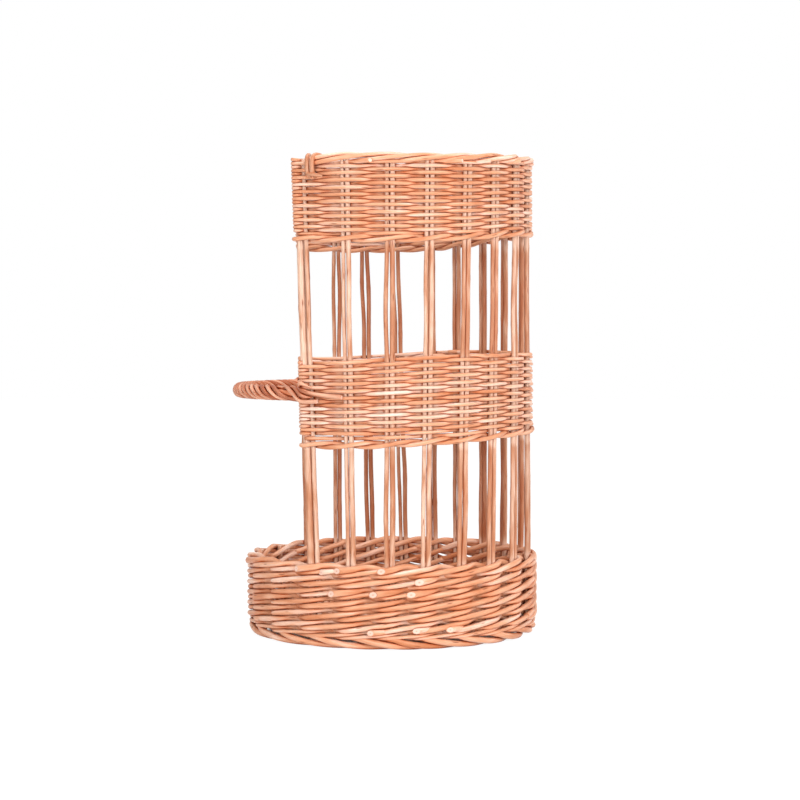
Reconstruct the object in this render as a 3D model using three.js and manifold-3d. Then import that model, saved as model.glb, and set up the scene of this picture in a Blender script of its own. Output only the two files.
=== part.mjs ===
// Tall willow basket for upright bread loaves: a round waled tray carries a ring of paired
// uprights, two woven bands tie the uprights together, and the front is left open between two
// thick end posts, with a roped bar bowed across it. Units are millimetres, +Z is up and the open
// front faces -Y.

import * as THREE from 'three';
import { mergeVertices } from 'three/addons/utils/BufferGeometryUtils.js';
import Module from 'manifold-3d';

const wasm = await Module();
wasm.setup();

// Ring of uprights, spaced by hand. Places are counted in degrees from the middle of the back towards
// the open front, at the foot and at the top, where the weave has drawn the uprights aside.
const uprightCircle = 142;
const rightPairFootAngles = [14, 32, 47, 62, 77, 91, 106];
const rightPairTopAngles = [9, 26, 42, 57, 73.5, 89.5, 107.5];
const rightPostFootAngle = 122.5;
const rightPostTopAngle = 129.5;
const leftPairFootAngles = [18, 33.5, 46.5, 60, 71.5, 84.5, 99.5, 115];
const leftPairTopAngles = [13, 30.5, 45, 59.5, 72, 88.5, 102, 114.5];
const leftPostFootAngle = 130;
const leftPostTopAngle = 132.5;
const backPairAngle = -2;
const frontStakes = 5;
const stakeRadius = 2.5;
const byeStakeRadius = 2.1;
const endPostRadius = 4;
const endRodRadius = 2.3;
const pairGap = 0.7;

// Heights above the surface that the basket stands on
const basketHeight = 485;
const borderHeight = 12;
const borderCover = 4;
const topBandBottom = 398;
const middleBandTop = 281;
const middleBandBottom = 199;
const bandEdgeHeight = 6.5;
const trayHeight = 84;
const trayRimHeight = 12;
const trayRimChamfer = 3;
const frontStakeCover = 4;
const footHeight = 14;

// Thickness that the woven rods add on each side of the uprights
const bandWeaver = 3.7;
const edgeWeaver = 5;
const borderRod = 4.6;
const waleRod = 6;
const rimRod = 6.6;

// Waling strokes of the tray wall: the middle of the lowest one, the rise from one to the next on the
// outside, the depth of the grooves between them, and how far the strokes inside lag, in uprights
const firstStroke = 19.7;
const strokePitch = 5.4;
const strokeGroove = 2;
const insideLagRatio = 0.25;

// How far the whole ring stands forward at the top
const forwardLean = 3.5;

// Foot border and base
const footInset = 4;
const footLedge = 8;
const footChamfer = 3;
const baseThickness = 13;
const baseRodRadius = 2.3;
const ridgeStart = 45;
const sticksPerWay = 3;
const splitStickRadius = 4;
const threadedStickRadius = 2.6;
const stickStandout = 1;
const slathMargin = 4;
const stickBend = 8;

// Roped bar across the open front
const handleHeight = 250;
const handleReach = 165;
const handleRadius = 7.8;
const bowRadius = 4;

// Lashings over the top border, beside the end posts
const lashingWidth = 9.5;
const lashingThickness = 3;
const lashingDrop = 27;
const lashingOffset = 14;

// Gap kept between neighbouring pieces, and the least weave left round a rod
const clearance = 0.3;
const leastWeave = 1.6;

// Facets
const rodSides = 6;
const postSides = 8;
const ropeSides = 10;
const facetsPerPosition = 2;
const endFacets = 6;
const stickSteps = 14;
const facetsPerRidge = 4;
const bowSteps = 22;

// Sizes worked out from the ones above. Places become angles about the tray's axis, positive on the
// right, with the turn from foot to top.
function placeOf(sign, foot, top) {
  const angle = sign * THREE.MathUtils.degToRad(foot);
  return { angle, turn: sign * THREE.MathUtils.degToRad(top - foot) };
}

function sideOf(name, sign, pairFeet, pairTops, postFoot, postTop) {
  const pairs = pairFeet.map((foot, i) => placeOf(sign, foot, pairTops[i]));
  return { name, sign, pairs, post: placeOf(sign, postFoot, postTop) };
}

const rightSide = sideOf(
  'right',
  1,
  rightPairFootAngles,
  rightPairTopAngles,
  rightPostFootAngle,
  rightPostTopAngle,
);
const leftSide = sideOf(
  'left',
  -1,
  leftPairFootAngles,
  leftPairTopAngles,
  leftPostFootAngle,
  leftPostTopAngle,
);
const bothSides = [rightSide, leftSide];
const backPair = placeOf(1, backPairAngle, backPairAngle);
const tallPlaces = [
  leftSide.post,
  ...leftSide.pairs.toReversed(),
  backPair,
  ...rightSide.pairs,
  rightSide.post,
];
const fullTurn = 2 * Math.PI;
const frontAngle = fullTurn - rightSide.post.angle + leftSide.post.angle;
const frontStep = frontAngle / (frontStakes + 1);
const uprightPositions = tallPlaces.length + frontStakes;
const ringAngles = [
  ...tallPlaces.map((upright) => upright.angle),
  ...Array.from({ length: frontStakes + 1 }, (unused, i) => rightSide.post.angle + frontStep * (i + 1)),
];
const thickestRod = Math.max(stakeRadius, byeStakeRadius, endPostRadius, endRodRadius);
const ringFacets = uprightPositions * facetsPerPosition;
const rodBottom = footHeight + clearance;
const tallTop = basketHeight - borderCover;
const leastHalf = thickestRod + clearance + leastWeave;
const wallHalf = halfThickness(waleRod);
const wallInnerFlat = (uprightCircle - wallHalf) * Math.cos(Math.PI / ringFacets);
const baseRadius = wallInnerFlat - 2 * clearance - stickStandout;
const baseBottom = footHeight + clearance;
const baseMiddle = baseBottom + baseThickness / 2;
const backReach = uprightCircle + Math.max(wallHalf, halfThickness(rimRod));

const paleWillow = 0xe4b297;
const buffWillow = 0xdea281;
const darkWillow = 0xc7866a;

const basket = new THREE.Group();
basket.name = 'baguette_basket';
basket.position.y = (handleReach - backReach) / 2;

// Half the thickness of a woven wall whose rods pass on both sides of the uprights
function halfThickness(weaver) {
  return Math.max(stakeRadius + weaver, leastHalf);
}

// How far the ring has turned at the top, by the angle at the foot. Between two uprights, and across
// the open front, the turn passes evenly from one to the other.
function turnAt(angle) {
  const first = tallPlaces[0];
  const last = tallPlaces.at(-1);
  const ring = [
    { angle: last.angle - fullTurn, turn: last.turn },
    ...tallPlaces,
    { angle: first.angle + fullTurn, turn: first.turn },
  ];
  const next = ring.findIndex((upright) => upright.angle > angle);
  const before = ring[next - 1];
  const after = ring[next];
  const share = (angle - before.angle) / (after.angle - before.angle);
  return before.turn + (after.turn - before.turn) * share;
}

// A point by its angle, its distance from the tray's axis and its height, on the leaning ring
function spot(angle, radius, height) {
  const forward = forwardLean * height / basketHeight;
  return new THREE.Vector3(radius * Math.sin(angle), radius * Math.cos(angle) - forward, height);
}

// The same for a point of a woven wall, which turns with the uprights as it rises
function place(angle, radius, height) {
  return spot(angle + turnAt(angle) * height / basketHeight, radius, height);
}

function leanForward(geometry) {
  const position = geometry.attributes.position;
  const point = new THREE.Vector3();
  for (let i = 0; i < position.count; i += 1) {
    point.fromBufferAttribute(position, i);
    const leaning = place(Math.atan2(point.x, point.y), Math.hypot(point.x, point.y), point.z);
    position.setXYZ(i, leaning.x, leaning.y, leaning.z);
  }
  return geometry;
}

// Joining and cutting closed meshes
function solidOf(geometry) {
  const bare = geometry.clone();
  bare.deleteAttribute('normal');
  bare.deleteAttribute('uv');
  const merged = mergeVertices(bare);
  return new wasm.Manifold(new wasm.Mesh({
    numProp: 3,
    vertProperties: new Float32Array(merged.attributes.position.array),
    triVerts: new Uint32Array(merged.index.array),
  }));
}

function geometryOf(solid) {
  const mesh = solid.getMesh();
  const result = new THREE.BufferGeometry();
  result.setAttribute('position', new THREE.BufferAttribute(mesh.vertProperties, 3));
  result.setIndex(new THREE.BufferAttribute(mesh.triVerts, 1));
  result.computeVertexNormals();
  return result;
}

function cut(geometry, cutters) {
  const solid = cutters.reduce((rest, cutter) => rest.subtract(solidOf(cutter)), solidOf(geometry));
  return geometryOf(solid);
}

function keepInside(geometry, envelope) {
  return geometryOf(solidOf(geometry).intersect(solidOf(envelope)));
}

function addPiece(name, geometry, colour) {
  const material = new THREE.MeshStandardMaterial({ color: colour, roughness: 0.6, metalness: 0 });
  const mesh = new THREE.Mesh(geometry, material);
  mesh.name = name;
  basket.add(mesh);
  return mesh;
}

// Straight rods stand on local Z and are turned and placed as meshes
function rodGeometry(radius, length, sides) {
  return new THREE.CylinderGeometry(radius, radius, length, sides).rotateX(Math.PI / 2);
}

function poseOfRod(rod) {
  const at = (height) => spot(rod.angle + rod.turn * height / basketHeight, uprightCircle, height);
  const foot = at(rodBottom);
  const top = at(rod.top);
  const along = top.clone().sub(foot);
  const length = along.length();
  const turn = new THREE.Quaternion().setFromUnitVectors(new THREE.Vector3(0, 0, 1), along.normalize());
  const middle = foot.add(top).multiplyScalar(0.5);
  return { middle, turn, length };
}

function addRod(rod) {
  const pose = poseOfRod(rod);
  const mesh = addPiece(rod.name, rodGeometry(rod.radius, pose.length, rod.sides), paleWillow);
  mesh.position.copy(pose.middle);
  mesh.quaternion.copy(pose.turn);
}

// The room that a rod needs inside a woven wall
function channelOf(rod) {
  const pose = poseOfRod(rod);
  const matrix = new THREE.Matrix4().compose(pose.middle, pose.turn, new THREE.Vector3(1, 1, 1));
  const length = pose.length + 2 * clearance;
  return rodGeometry(rod.radius + clearance, length, rod.sides).applyMatrix4(matrix);
}

function circleShape(radius, sides) {
  const points = Array.from({ length: sides }, (unused, i) => {
    const angle = 2 * Math.PI * (i + 0.5) / sides;
    return new THREE.Vector2(radius * Math.cos(angle), radius * Math.sin(angle));
  });
  return new THREE.Shape(points);
}

function rodAlong(curve, radius, sides, steps) {
  const options = { extrudePath: curve, steps, bevelEnabled: false };
  return new THREE.ExtrudeGeometry(circleShape(radius, sides), options);
}

// Points of an arc, leaving out its last point
function arcPoints(centre, radius, from, to, count) {
  return Array.from({ length: count }, (unused, i) => {
    const angle = from + (to - from) * i / count;
    return new THREE.Vector2(
      centre.x + radius * Math.cos(angle),
      centre.y + radius * Math.sin(angle),
    );
  });
}

// A woven wall round the uprights, open at the front, its ends turned round the end posts
function openWall(half, bottom, top) {
  const left = Math.PI / 2 - leftSide.post.angle;
  const right = Math.PI / 2 - rightSide.post.angle;
  const axis = new THREE.Vector2();
  const leftPost = new THREE.Vector2(Math.cos(left), Math.sin(left)).multiplyScalar(uprightCircle);
  const rightPost = new THREE.Vector2(Math.cos(right), Math.sin(right)).multiplyScalar(uprightCircle);
  const count = (tallPlaces.length - 1) * facetsPerPosition;
  const outline = [
    ...arcPoints(axis, uprightCircle + half, right, left, count),
    ...arcPoints(leftPost, half, left, left + Math.PI, endFacets),
    ...arcPoints(axis, uprightCircle - half, left, right, count),
    ...arcPoints(rightPost, half, right + Math.PI, right + 2 * Math.PI, endFacets),
  ];
  const options = { depth: top - bottom, bevelEnabled: false };
  const wall = new THREE.ExtrudeGeometry(new THREE.Shape(outline), options).translate(0, 0, bottom);
  return leanForward(wall);
}

// A ring turned about the tray's axis, with its corners taken off
function closedRing(inner, outer, bottom, top, chamfer) {
  const profile = [
    new THREE.Vector2(inner + chamfer, bottom),
    new THREE.Vector2(outer - chamfer, bottom),
    new THREE.Vector2(outer, bottom + chamfer),
    new THREE.Vector2(outer, top - chamfer),
    new THREE.Vector2(outer - chamfer, top),
    new THREE.Vector2(inner + chamfer, top),
    new THREE.Vector2(inner, top - chamfer),
    new THREE.Vector2(inner, bottom + chamfer),
    new THREE.Vector2(inner + chamfer, bottom),
  ];
  return new THREE.LatheGeometry(profile, ringFacets).rotateX(Math.PI / 2);
}

// Angle of a place on the ring, counted in uprights from the left end post. Halves lie midway between
// two uprights.
function ringAngle(count) {
  const within = count - uprightPositions * Math.floor(count / uprightPositions);
  const index = Math.floor(within);
  return ringAngles[index] + (ringAngles[index + 1] - ringAngles[index]) * (within - index);
}

// A body round the tray's axis whose side is ribbed by the strokes of the wale. Each height has one rib
// for every upright, and the ribs move on by one upright, right or left, as they rise by the pitch.
function ribbedBody(rib, groove, bottom, top, pitch, lag, sign) {
  const layers = Math.ceil(2 * (top - bottom) / pitch);
  const columns = 2 * uprightPositions;
  const points = [];
  for (let layer = 0; layer <= layers; layer += 1) {
    const height = bottom + (top - bottom) * layer / layers;
    for (let column = 0; column < columns; column += 1) {
      const angle = ringAngle(column / 2 - lag + sign * (height - firstStroke) / pitch);
      points.push(place(angle, column % 2 === 0 ? rib : groove, height));
    }
  }
  const lowest = points.length;
  points.push(place(0, 0, bottom), place(0, 0, top));
  const faces = [];
  for (let column = 0; column < columns; column += 1) {
    const next = (column + 1) % columns;
    const last = layers * columns;
    faces.push(lowest, column, next, lowest + 1, last + next, last + column);
    for (let layer = 0; layer < layers; layer += 1) {
      const [a, b] = [layer * columns + column, layer * columns + next];
      const [c, d] = [a + columns, b + columns];
      const upright = points[a].distanceTo(points[d]) < points[b].distanceTo(points[c]);
      faces.push(...(upright ? [b, a, d, a, c, d] : [b, a, c, b, c, d]));
    }
  }
  return new THREE.BufferGeometry().setFromPoints(points).setIndex(faces);
}

// Uprights: a stake and a thinner bye-stake in each pair, an end post with a thin rod behind it,
// and short stakes that only hold up the front of the tray
function rodAt(name, at, offset, radius, top, sides) {
  return { name, angle: at.angle + offset / uprightCircle, turn: at.turn, radius, top, sides };
}

function pairAt(label, at, sign) {
  const offset = sign * (pairGap + stakeRadius + byeStakeRadius) / 2;
  return [
    rodAt(`stake_${label}`, at, -offset, stakeRadius, tallTop, rodSides),
    rodAt(`bye_stake_${label}`, at, offset, byeStakeRadius, tallTop, rodSides),
  ];
}

function uprightsOfSide(side) {
  const behindPost = -side.sign * (pairGap + endPostRadius + endRodRadius);
  return [
    ...side.pairs.flatMap((at, i) => pairAt(`${side.name}_${i + 1}`, at, side.sign)),
    rodAt(`end_post_${side.name}`, side.post, 0, endPostRadius, tallTop, postSides),
    rodAt(`end_rod_${side.name}`, side.post, behindPost, endRodRadius, tallTop, rodSides),
  ];
}

function frontStakeAt(index) {
  const angle = leftSide.post.angle - frontStep * index;
  const at = { angle, turn: turnAt(angle < -Math.PI ? angle + fullTurn : angle) };
  const top = trayHeight - frontStakeCover;
  return rodAt(`front_stake_${index}`, at, 0, stakeRadius, top, rodSides);
}

const frontRow = Array.from({ length: frontStakes }, (unused, i) => frontStakeAt(i + 1));
const uprights = [...bothSides.flatMap(uprightsOfSide), ...pairAt('back', backPair, 1), ...frontRow];
uprights.forEach(addRod);
const allChannels = uprights.map(channelOf);
const tallChannels = uprights.filter((rod) => !rod.name.startsWith('front')).map(channelOf);

// Foot border, which the basket stands on
const footOuter = uprightCircle + wallHalf - footInset;
const footRing = closedRing(baseRadius - footLedge, footOuter, 0, footHeight, footChamfer);
addPiece('foot_border', footRing, buffWillow);

// A disc on the level of the base
function baseDisc(radius) {
  return new THREE.CylinderGeometry(radius, radius, baseThickness, ringFacets)
    .rotateX(Math.PI / 2)
    .translate(0, 0, baseMiddle);
}

// Base sticks: one set is split in the middle and the other set is threaded through the splits.
// Their ends are trimmed to a circle just outside the base weave.
function stickPath(index, spacing, straightHalf) {
  const reach = baseRadius + stickStandout + splitStickRadius;
  const fan = index * Math.PI / (2 * sticksPerWay);
  const point = (x, y) => new THREE.Vector3(x, y, baseMiddle);
  const side = index * spacing;
  const end = new THREE.Vector2(reach * Math.sin(fan), reach * Math.cos(fan));
  const bend = straightHalf + stickBend;
  const path = new THREE.CurvePath();
  path.add(new THREE.QuadraticBezierCurve3(
    point(end.x, -end.y),
    point(side, -bend),
    point(side, -straightHalf),
  ));
  path.add(new THREE.LineCurve3(point(side, -straightHalf), point(side, straightHalf)));
  path.add(new THREE.QuadraticBezierCurve3(
    point(side, straightHalf),
    point(side, bend),
    point(end.x, end.y),
  ));
  return path;
}

const splitSpacing = 2 * splitStickRadius + clearance;
const threadedSpacing = 2 * threadedStickRadius + clearance;
const stickIndices = Array.from({ length: sticksPerWay }, (unused, i) => i - (sticksPerWay - 1) / 2);
const slathHalf = sticksPerWay / 2 * Math.max(splitSpacing, threadedSpacing) + slathMargin;

function splitStick(index, grow) {
  return rodAlong(stickPath(index, splitSpacing, slathHalf), splitStickRadius + grow, rodSides, stickSteps);
}

function threadedStick(index, grow) {
  const path = stickPath(index, threadedSpacing, slathHalf);
  return rodAlong(path, threadedStickRadius + grow, rodSides, stickSteps).rotateZ(Math.PI / 2);
}

const threadedRoom = stickIndices.map((index) => threadedStick(index, clearance));
const splitRoom = stickIndices.map((index) => splitStick(index, clearance));
const stickEnds = baseDisc(baseRadius + stickStandout);
stickIndices.forEach((index, i) => {
  const split = keepInside(cut(splitStick(index, 0), threadedRoom), stickEnds);
  const threaded = keepInside(threadedStick(index, 0), stickEnds);
  addPiece(`base_stick_split_${i + 1}`, split, paleWillow);
  addPiece(`base_stick_threaded_${i + 1}`, threaded, paleWillow);
});

// Base weave, a ring round the crossing of the sticks that rests on the ledge of the foot border. It
// rises into a ridge over each end of a stick, and between two ridges it is as thin as its rods.
function ridgedRing(inner, outer) {
  const [bottom, top] = [baseBottom, baseBottom + baseThickness];
  const profile = [[inner, bottom], [ridgeStart, bottom], [outer, bottom], [outer, top]];
  profile.push([ridgeStart, top], [inner, top], [inner, bottom]);
  const ridges = 4 * sticksPerWay;
  const corners = profile.map(([x, y]) => new THREE.Vector2(x, y));
  const ring = new THREE.LatheGeometry(corners, ridges * facetsPerRidge).rotateX(Math.PI / 2);
  const position = ring.attributes.position;
  const deepest = 1 - 2 * baseRodRadius / baseThickness;
  for (let i = 0; i < position.count; i += 1) {
    const [x, y] = [position.getX(i), position.getY(i)];
    const between = (1 - Math.cos(ridges * Math.atan2(x, y))) / 2;
    const begun = THREE.MathUtils.clamp((Math.hypot(x, y) - inner) / (ridgeStart - inner), 0, 1);
    const share = 1 - deepest * between * begun;
    position.setZ(i, baseMiddle + (position.getZ(i) - baseMiddle) * share);
  }
  return ring;
}

const baseWeave = ridgedRing(slathHalf * Math.SQRT2, baseRadius);
addPiece('base_weave', cut(baseWeave, [...splitRoom, ...threadedRoom]), buffWillow);

// Tray: the waled wall, and the rim border that covers the ends of the front stakes. The strokes of the
// wale rise past one upright in each pitch on the outside. Inside they lie twice as far apart and fall,
// and the grooves between them are as deep as the room of the uprights allows.
const rimBottom = trayHeight - trayRimHeight;
const rimHalf = halfThickness(rimRod);
const wallBottom = footHeight + clearance;
const wallTop = rimBottom - clearance;
const trayOuter = ribbedBody(
  uprightCircle + wallHalf,
  uprightCircle + Math.max(wallHalf - strokeGroove, leastHalf),
  wallBottom,
  wallTop,
  strokePitch,
  0,
  -1,
);
const trayInner = ribbedBody(
  uprightCircle - wallHalf,
  uprightCircle - leastHalf,
  wallBottom - clearance,
  wallTop + clearance,
  2 * strokePitch,
  insideLagRatio,
  1,
);
const trayRim = closedRing(
  uprightCircle - rimHalf,
  uprightCircle + rimHalf,
  rimBottom,
  trayHeight,
  trayRimChamfer,
);
addPiece('tray_wall', cut(trayOuter, [trayInner, ...allChannels]), buffWillow);
addPiece('tray_rim', cut(leanForward(trayRim), allChannels), buffWillow);

// Roped bar: a bow held in the ends of the middle band, with thin rods wound round it. It leaves
// each post along the band. The controls are drawn out until the middle of the curve, which weighs
// the ends by one eighth and the controls by three eighths, is the foremost point of the bow.
function handleEnd(side) {
  const angle = side.post.angle + side.post.turn * handleHeight / basketHeight;
  const along = new THREE.Vector3(Math.cos(angle), -Math.sin(angle), 0).multiplyScalar(side.sign);
  const start = spot(angle, uprightCircle, handleHeight);
  start.addScaledVector(along, endPostRadius + clearance);
  return { start, along };
}

function handlePath() {
  const right = handleEnd(rightSide);
  const left = handleEnd(leftSide);
  const ends = right.start.y + left.start.y;
  const drawn = (8 * (handleRadius - handleReach) - ends) / 6;
  const control = (end, other) => {
    const reach = drawn + (other.start.y - end.start.y) / 2;
    return end.start.clone().addScaledVector(end.along, (reach - end.start.y) / end.along.y);
  };
  return new THREE.CubicBezierCurve3(right.start, control(right, left), control(left, right), left.start);
}

const handleCurve = handlePath();
const bowRoom = rodAlong(handleCurve, bowRadius + clearance, postSides, bowSteps);
addPiece('handle_bow', rodAlong(handleCurve, bowRadius, postSides, bowSteps), paleWillow);

const bandHalf = halfThickness(bandWeaver);
const edgeHalf = halfThickness(edgeWeaver);
const middleBandRoom = openWall(
  bandHalf + clearance,
  middleBandBottom - clearance,
  middleBandTop + clearance,
);
const roping = cut(rodAlong(handleCurve, handleRadius, ropeSides, bowSteps), [bowRoom, middleBandRoom]);
addPiece('handle_roping', roping, darkWillow);

// Woven bands, each with a heavier twined edge below it
function addBand(name, bottom, top, cutters) {
  const edgeTop = bottom + bandEdgeHeight;
  addPiece(`${name}_edge`, cut(openWall(edgeHalf, bottom, edgeTop), tallChannels), buffWillow);
  addPiece(name, cut(openWall(bandHalf, edgeTop + clearance, top), cutters), buffWillow);
}

const borderBottom = basketHeight - borderHeight;
const topBandTop = borderBottom - clearance;
addBand('middle_band', middleBandBottom, middleBandTop, [...tallChannels, bowRoom]);
addBand('top_band', topBandBottom, topBandTop, tallChannels);

// Top border, which covers the upper ends of the uprights
const borderHalf = halfThickness(borderRod);
addPiece('top_border', cut(openWall(borderHalf, borderBottom, basketHeight), tallChannels), buffWillow);

// Lashings: rods bent over the border beside each end post
const lashingTop = basketHeight + clearance + lashingThickness;
const lashingHalf = borderHalf + clearance + lashingThickness;
const borderRoom = openWall(borderHalf + clearance, borderBottom - clearance, basketHeight + clearance);
const topBandRoom = openWall(bandHalf + clearance, topBandBottom, topBandTop + clearance);
for (const side of bothSides) {
  const angle = side.post.angle - side.sign * lashingOffset / uprightCircle;
  const height = lashingTop - (basketHeight - lashingDrop);
  const block = new THREE.BoxGeometry(lashingWidth, 2 * lashingHalf, height)
    .translate(0, uprightCircle, lashingTop - height / 2)
    .rotateZ(-angle);
  addPiece(`lashing_${side.name}`, cut(leanForward(block), [borderRoom, topBandRoom]), paleWillow);
}

export default basket;
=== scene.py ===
# %% [markdown]
# A tall willow bread basket, woven rod by rod. The CAD model gives every wall its size and place as
# a plain solid. A picture of weave laid over those solids would be quicker, but it would look flat from
# the side. Here each solid is replaced by the rods that a basket maker would use, so the gaps, bulges
# and cut ends of the weave are real geometry.

# %% The frame
import math

import bpy
import numpy as np
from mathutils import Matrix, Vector


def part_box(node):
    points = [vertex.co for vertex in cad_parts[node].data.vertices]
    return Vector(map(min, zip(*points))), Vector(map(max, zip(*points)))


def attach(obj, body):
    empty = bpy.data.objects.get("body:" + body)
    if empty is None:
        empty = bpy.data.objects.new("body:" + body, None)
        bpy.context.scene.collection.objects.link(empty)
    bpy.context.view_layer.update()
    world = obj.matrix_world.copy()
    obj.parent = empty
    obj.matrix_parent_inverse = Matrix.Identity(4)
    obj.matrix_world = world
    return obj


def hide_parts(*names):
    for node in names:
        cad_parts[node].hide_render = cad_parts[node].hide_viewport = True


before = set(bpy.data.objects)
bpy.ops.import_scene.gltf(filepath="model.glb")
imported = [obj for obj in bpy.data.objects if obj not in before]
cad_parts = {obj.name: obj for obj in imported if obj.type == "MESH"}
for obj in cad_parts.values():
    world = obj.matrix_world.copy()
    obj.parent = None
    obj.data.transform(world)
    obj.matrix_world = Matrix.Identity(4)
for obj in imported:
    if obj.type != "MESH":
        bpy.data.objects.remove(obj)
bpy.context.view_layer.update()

print("CAD nodes to dress:", len(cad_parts))

# %% [markdown]
# The main sizes repeat those of the CAD model. All lengths are written in millimetres and turned into
# metres by one factor, because rods of a few millimetres are easier to think about that way. Places
# round the ring are in degrees from the back, once at the foot and once at the top.

# %% Sizes
MM = 0.001
SEED = 21
UPRIGHT_CIRCLE = 142 * MM
BASKET_HEIGHT = 485 * MM
FORWARD_LEAN = 3.5 * MM
RIGHT_PAIR_FEET = (14, 32, 47, 62, 77, 91, 106)
RIGHT_PAIR_TOPS = (9, 26, 42, 57, 73.5, 89.5, 107.5)
RIGHT_POST = (122.5, 129)
LEFT_PAIR_FEET = (18, 33.5, 46.5, 60, 71.5, 84.5, 99.5, 115)
LEFT_PAIR_TOPS = (13, 30.5, 45, 59.5, 72, 88.5, 102, 114.5)
LEFT_POST = (130, 132.5)
BACK_PAIR = -2
FRONT_STAKES = 5

STAKE_RADIUS = 2.5 * MM
BYE_STAKE_RADIUS = 2.1 * MM
POST_RADIUS = 4.1 * MM
END_ROD_RADIUS = 2.3 * MM
PAIR_GAP = 0.7 * MM
ROD_BOTTOM = 14.3 * MM
TALL_TOP = 480 * MM
SHORT_TOP = 80 * MM

base_low, base_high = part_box("base_weave")
AXIS_Y = (base_low[1] + base_high[1]) / 2
rng = np.random.default_rng(SEED)
print("tray axis at y =", round(AXIS_Y / MM, 2), "mm")

# %% [markdown]
# Weaving is counted in stations, one for every upright round the ring. Station 0 is the right end
# post, the numbers run round the back to the left end post, and the short front stakes close the
# ring. Angles would do as well, but over stations a weaver is just a wave: in front of one, behind the
# next. The uprights were spaced by hand and drawn aside on their way up, so each station has a place at
# the foot and another at the top, and a wall turns between them as it rises.

# %% Stations round the ring
def ring_places(right_post, right_pairs, back, left_pairs, left_post):
    tall = [right_post, *right_pairs[::-1], back, *(-angle for angle in left_pairs), -left_post]
    step = (360 - right_post - left_post) / (FRONT_STAKES + 1)
    front = [-left_post - step * (k + 1) for k in range(FRONT_STAKES + 1)]
    return np.radians(tall + front)


FEET = ring_places(RIGHT_POST[0], RIGHT_PAIR_FEET, BACK_PAIR, LEFT_PAIR_FEET, LEFT_POST[0])
TOPS = ring_places(RIGHT_POST[1], RIGHT_PAIR_TOPS, BACK_PAIR, LEFT_PAIR_TOPS, LEFT_POST[1])
RING = len(FEET) - 1
LAST = RING - FRONT_STAKES - 1
RIGHT_PAIRS = len(RIGHT_PAIR_FEET)
LEFT_PAIRS = len(LEFT_PAIR_FEET)


def station_angle(station, height):
    station = np.asarray(station, float)
    turn = np.floor(station / RING)
    inside = station - RING * turn
    foot = np.interp(inside, np.arange(RING + 1), FEET)
    top = np.interp(inside, np.arange(RING + 1), TOPS)
    return foot + (top - foot) * height / BASKET_HEIGHT - 2 * math.pi * turn


print("stations round the ring:", RING)

# %% Places on the wall
def place(angle, radius, height):
    angle, radius, height = np.broadcast_arrays(np.asarray(angle, float), radius, height)
    forward = FORWARD_LEAN * height / BASKET_HEIGHT
    return np.stack([radius * np.sin(angle), AXIS_Y + radius * np.cos(angle) - forward, height], axis=-1)


def wall_path(station, offset, height):
    return place(station_angle(station, height), UPRIGHT_CIRCLE + offset, height)


def wall_axes(angle):
    angle = np.asarray(angle, float)
    level = np.zeros_like(angle)
    out = np.stack([np.sin(angle), np.cos(angle), level], axis=-1)
    along = np.stack([np.cos(angle), -np.sin(angle), level], axis=-1)
    return out, along


def outward(points):
    flat = points * np.array([1.0, 1.0, 0.0]) - np.array([0.0, AXIS_Y, 0.0])
    return flat / np.maximum(np.linalg.norm(flat, axis=-1, keepdims=True), MM)


def eased(share):
    return share * share * (3 - 2 * share)


print("right post stands at", wall_path(0, 0, ROD_BOTTOM).round(3))

# %% [markdown]
# The bands weren't laid quite level: towards the back they ride a few millimetres higher, and their lower
# edges sag at the posts. One tilt wouldn't follow that, so a small table holds the drift in millimetres
# at a few heights, by stations. The bands, their edges and the top border are lifted by it.

# %% Drift of the bands
LIFT_HEIGHTS = (150, 201, 212, 281, 401, 482)
LIFT_STATIONS = (0, 1, 2, 3, 4, 5, 6, 8, 10, 12, 13, 14, 15, 16)
LIFTS = (
    (0, 0, 0, 0, 0, 0, 0, 0, 0, 0, 0, 0, 0, 0),
    (-5.5, -4.5, -2.5, -0.5, 2, 4, 5, 6, 6, 3, 0, -2, -4, -5),
    (-0.5, 0, 0.5, 1.5, 3, 5, 6, 6, 6, 3, 1.5, 0.5, 0, -0.5),
    (0, 0.7, 3.5, 6, 7.5, 7.5, 7, 7, 7, 7.5, 6, 3.5, 0.7, 0),
    (-1, -1.5, -1, -0.5, 1, 4.5, 7, 8, 6, 0, -2.5, -4, -4, -3.5),
    (0, 0, 0, 0, 0.8, 2, 3.5, 4, 3.5, 0.8, 0, 0, 0, 0),
)


def lifted(station, height):
    station, height = np.broadcast_arrays(np.asarray(station, float), height)
    rows = np.stack([np.interp(station, LIFT_STATIONS, row) for row in LIFTS])
    level = np.interp(height / MM, LIFT_HEIGHTS, np.arange(len(LIFT_HEIGHTS)))
    below = np.minimum(level.astype(int), len(LIFT_HEIGHTS) - 2)
    drift = [np.take_along_axis(rows, (below + step)[None], axis=0)[0] for step in (0, 1)]
    share = level - below
    return height + MM * (drift[0] * (1 - share) + drift[1] * share)


print("most that a band is lifted:", max(map(max, LIFTS)), "mm")

# %% [markdown]
# Every piece of willow is a round rod: a ring of vertices carried along a curve. A bevelled curve object
# would give the same tube, but rings of our own can be cut on the slant and carry values for the
# material. The ring is turned as little as possible from point to point, so it doesn't twist. Where a
# rod is cut, the points that the slanted face would cross are left out.

# %% Along a rod
STEEP = 0.8
CUT_SPARE = 1.2
CUT_MARGIN = 0.2


def unit(vector):
    return vector / np.linalg.norm(vector)


def run_length(points):
    steps = np.linalg.norm(np.diff(points, axis=0), axis=1)
    return np.concatenate([[0], np.cumsum(steps)])


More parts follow.
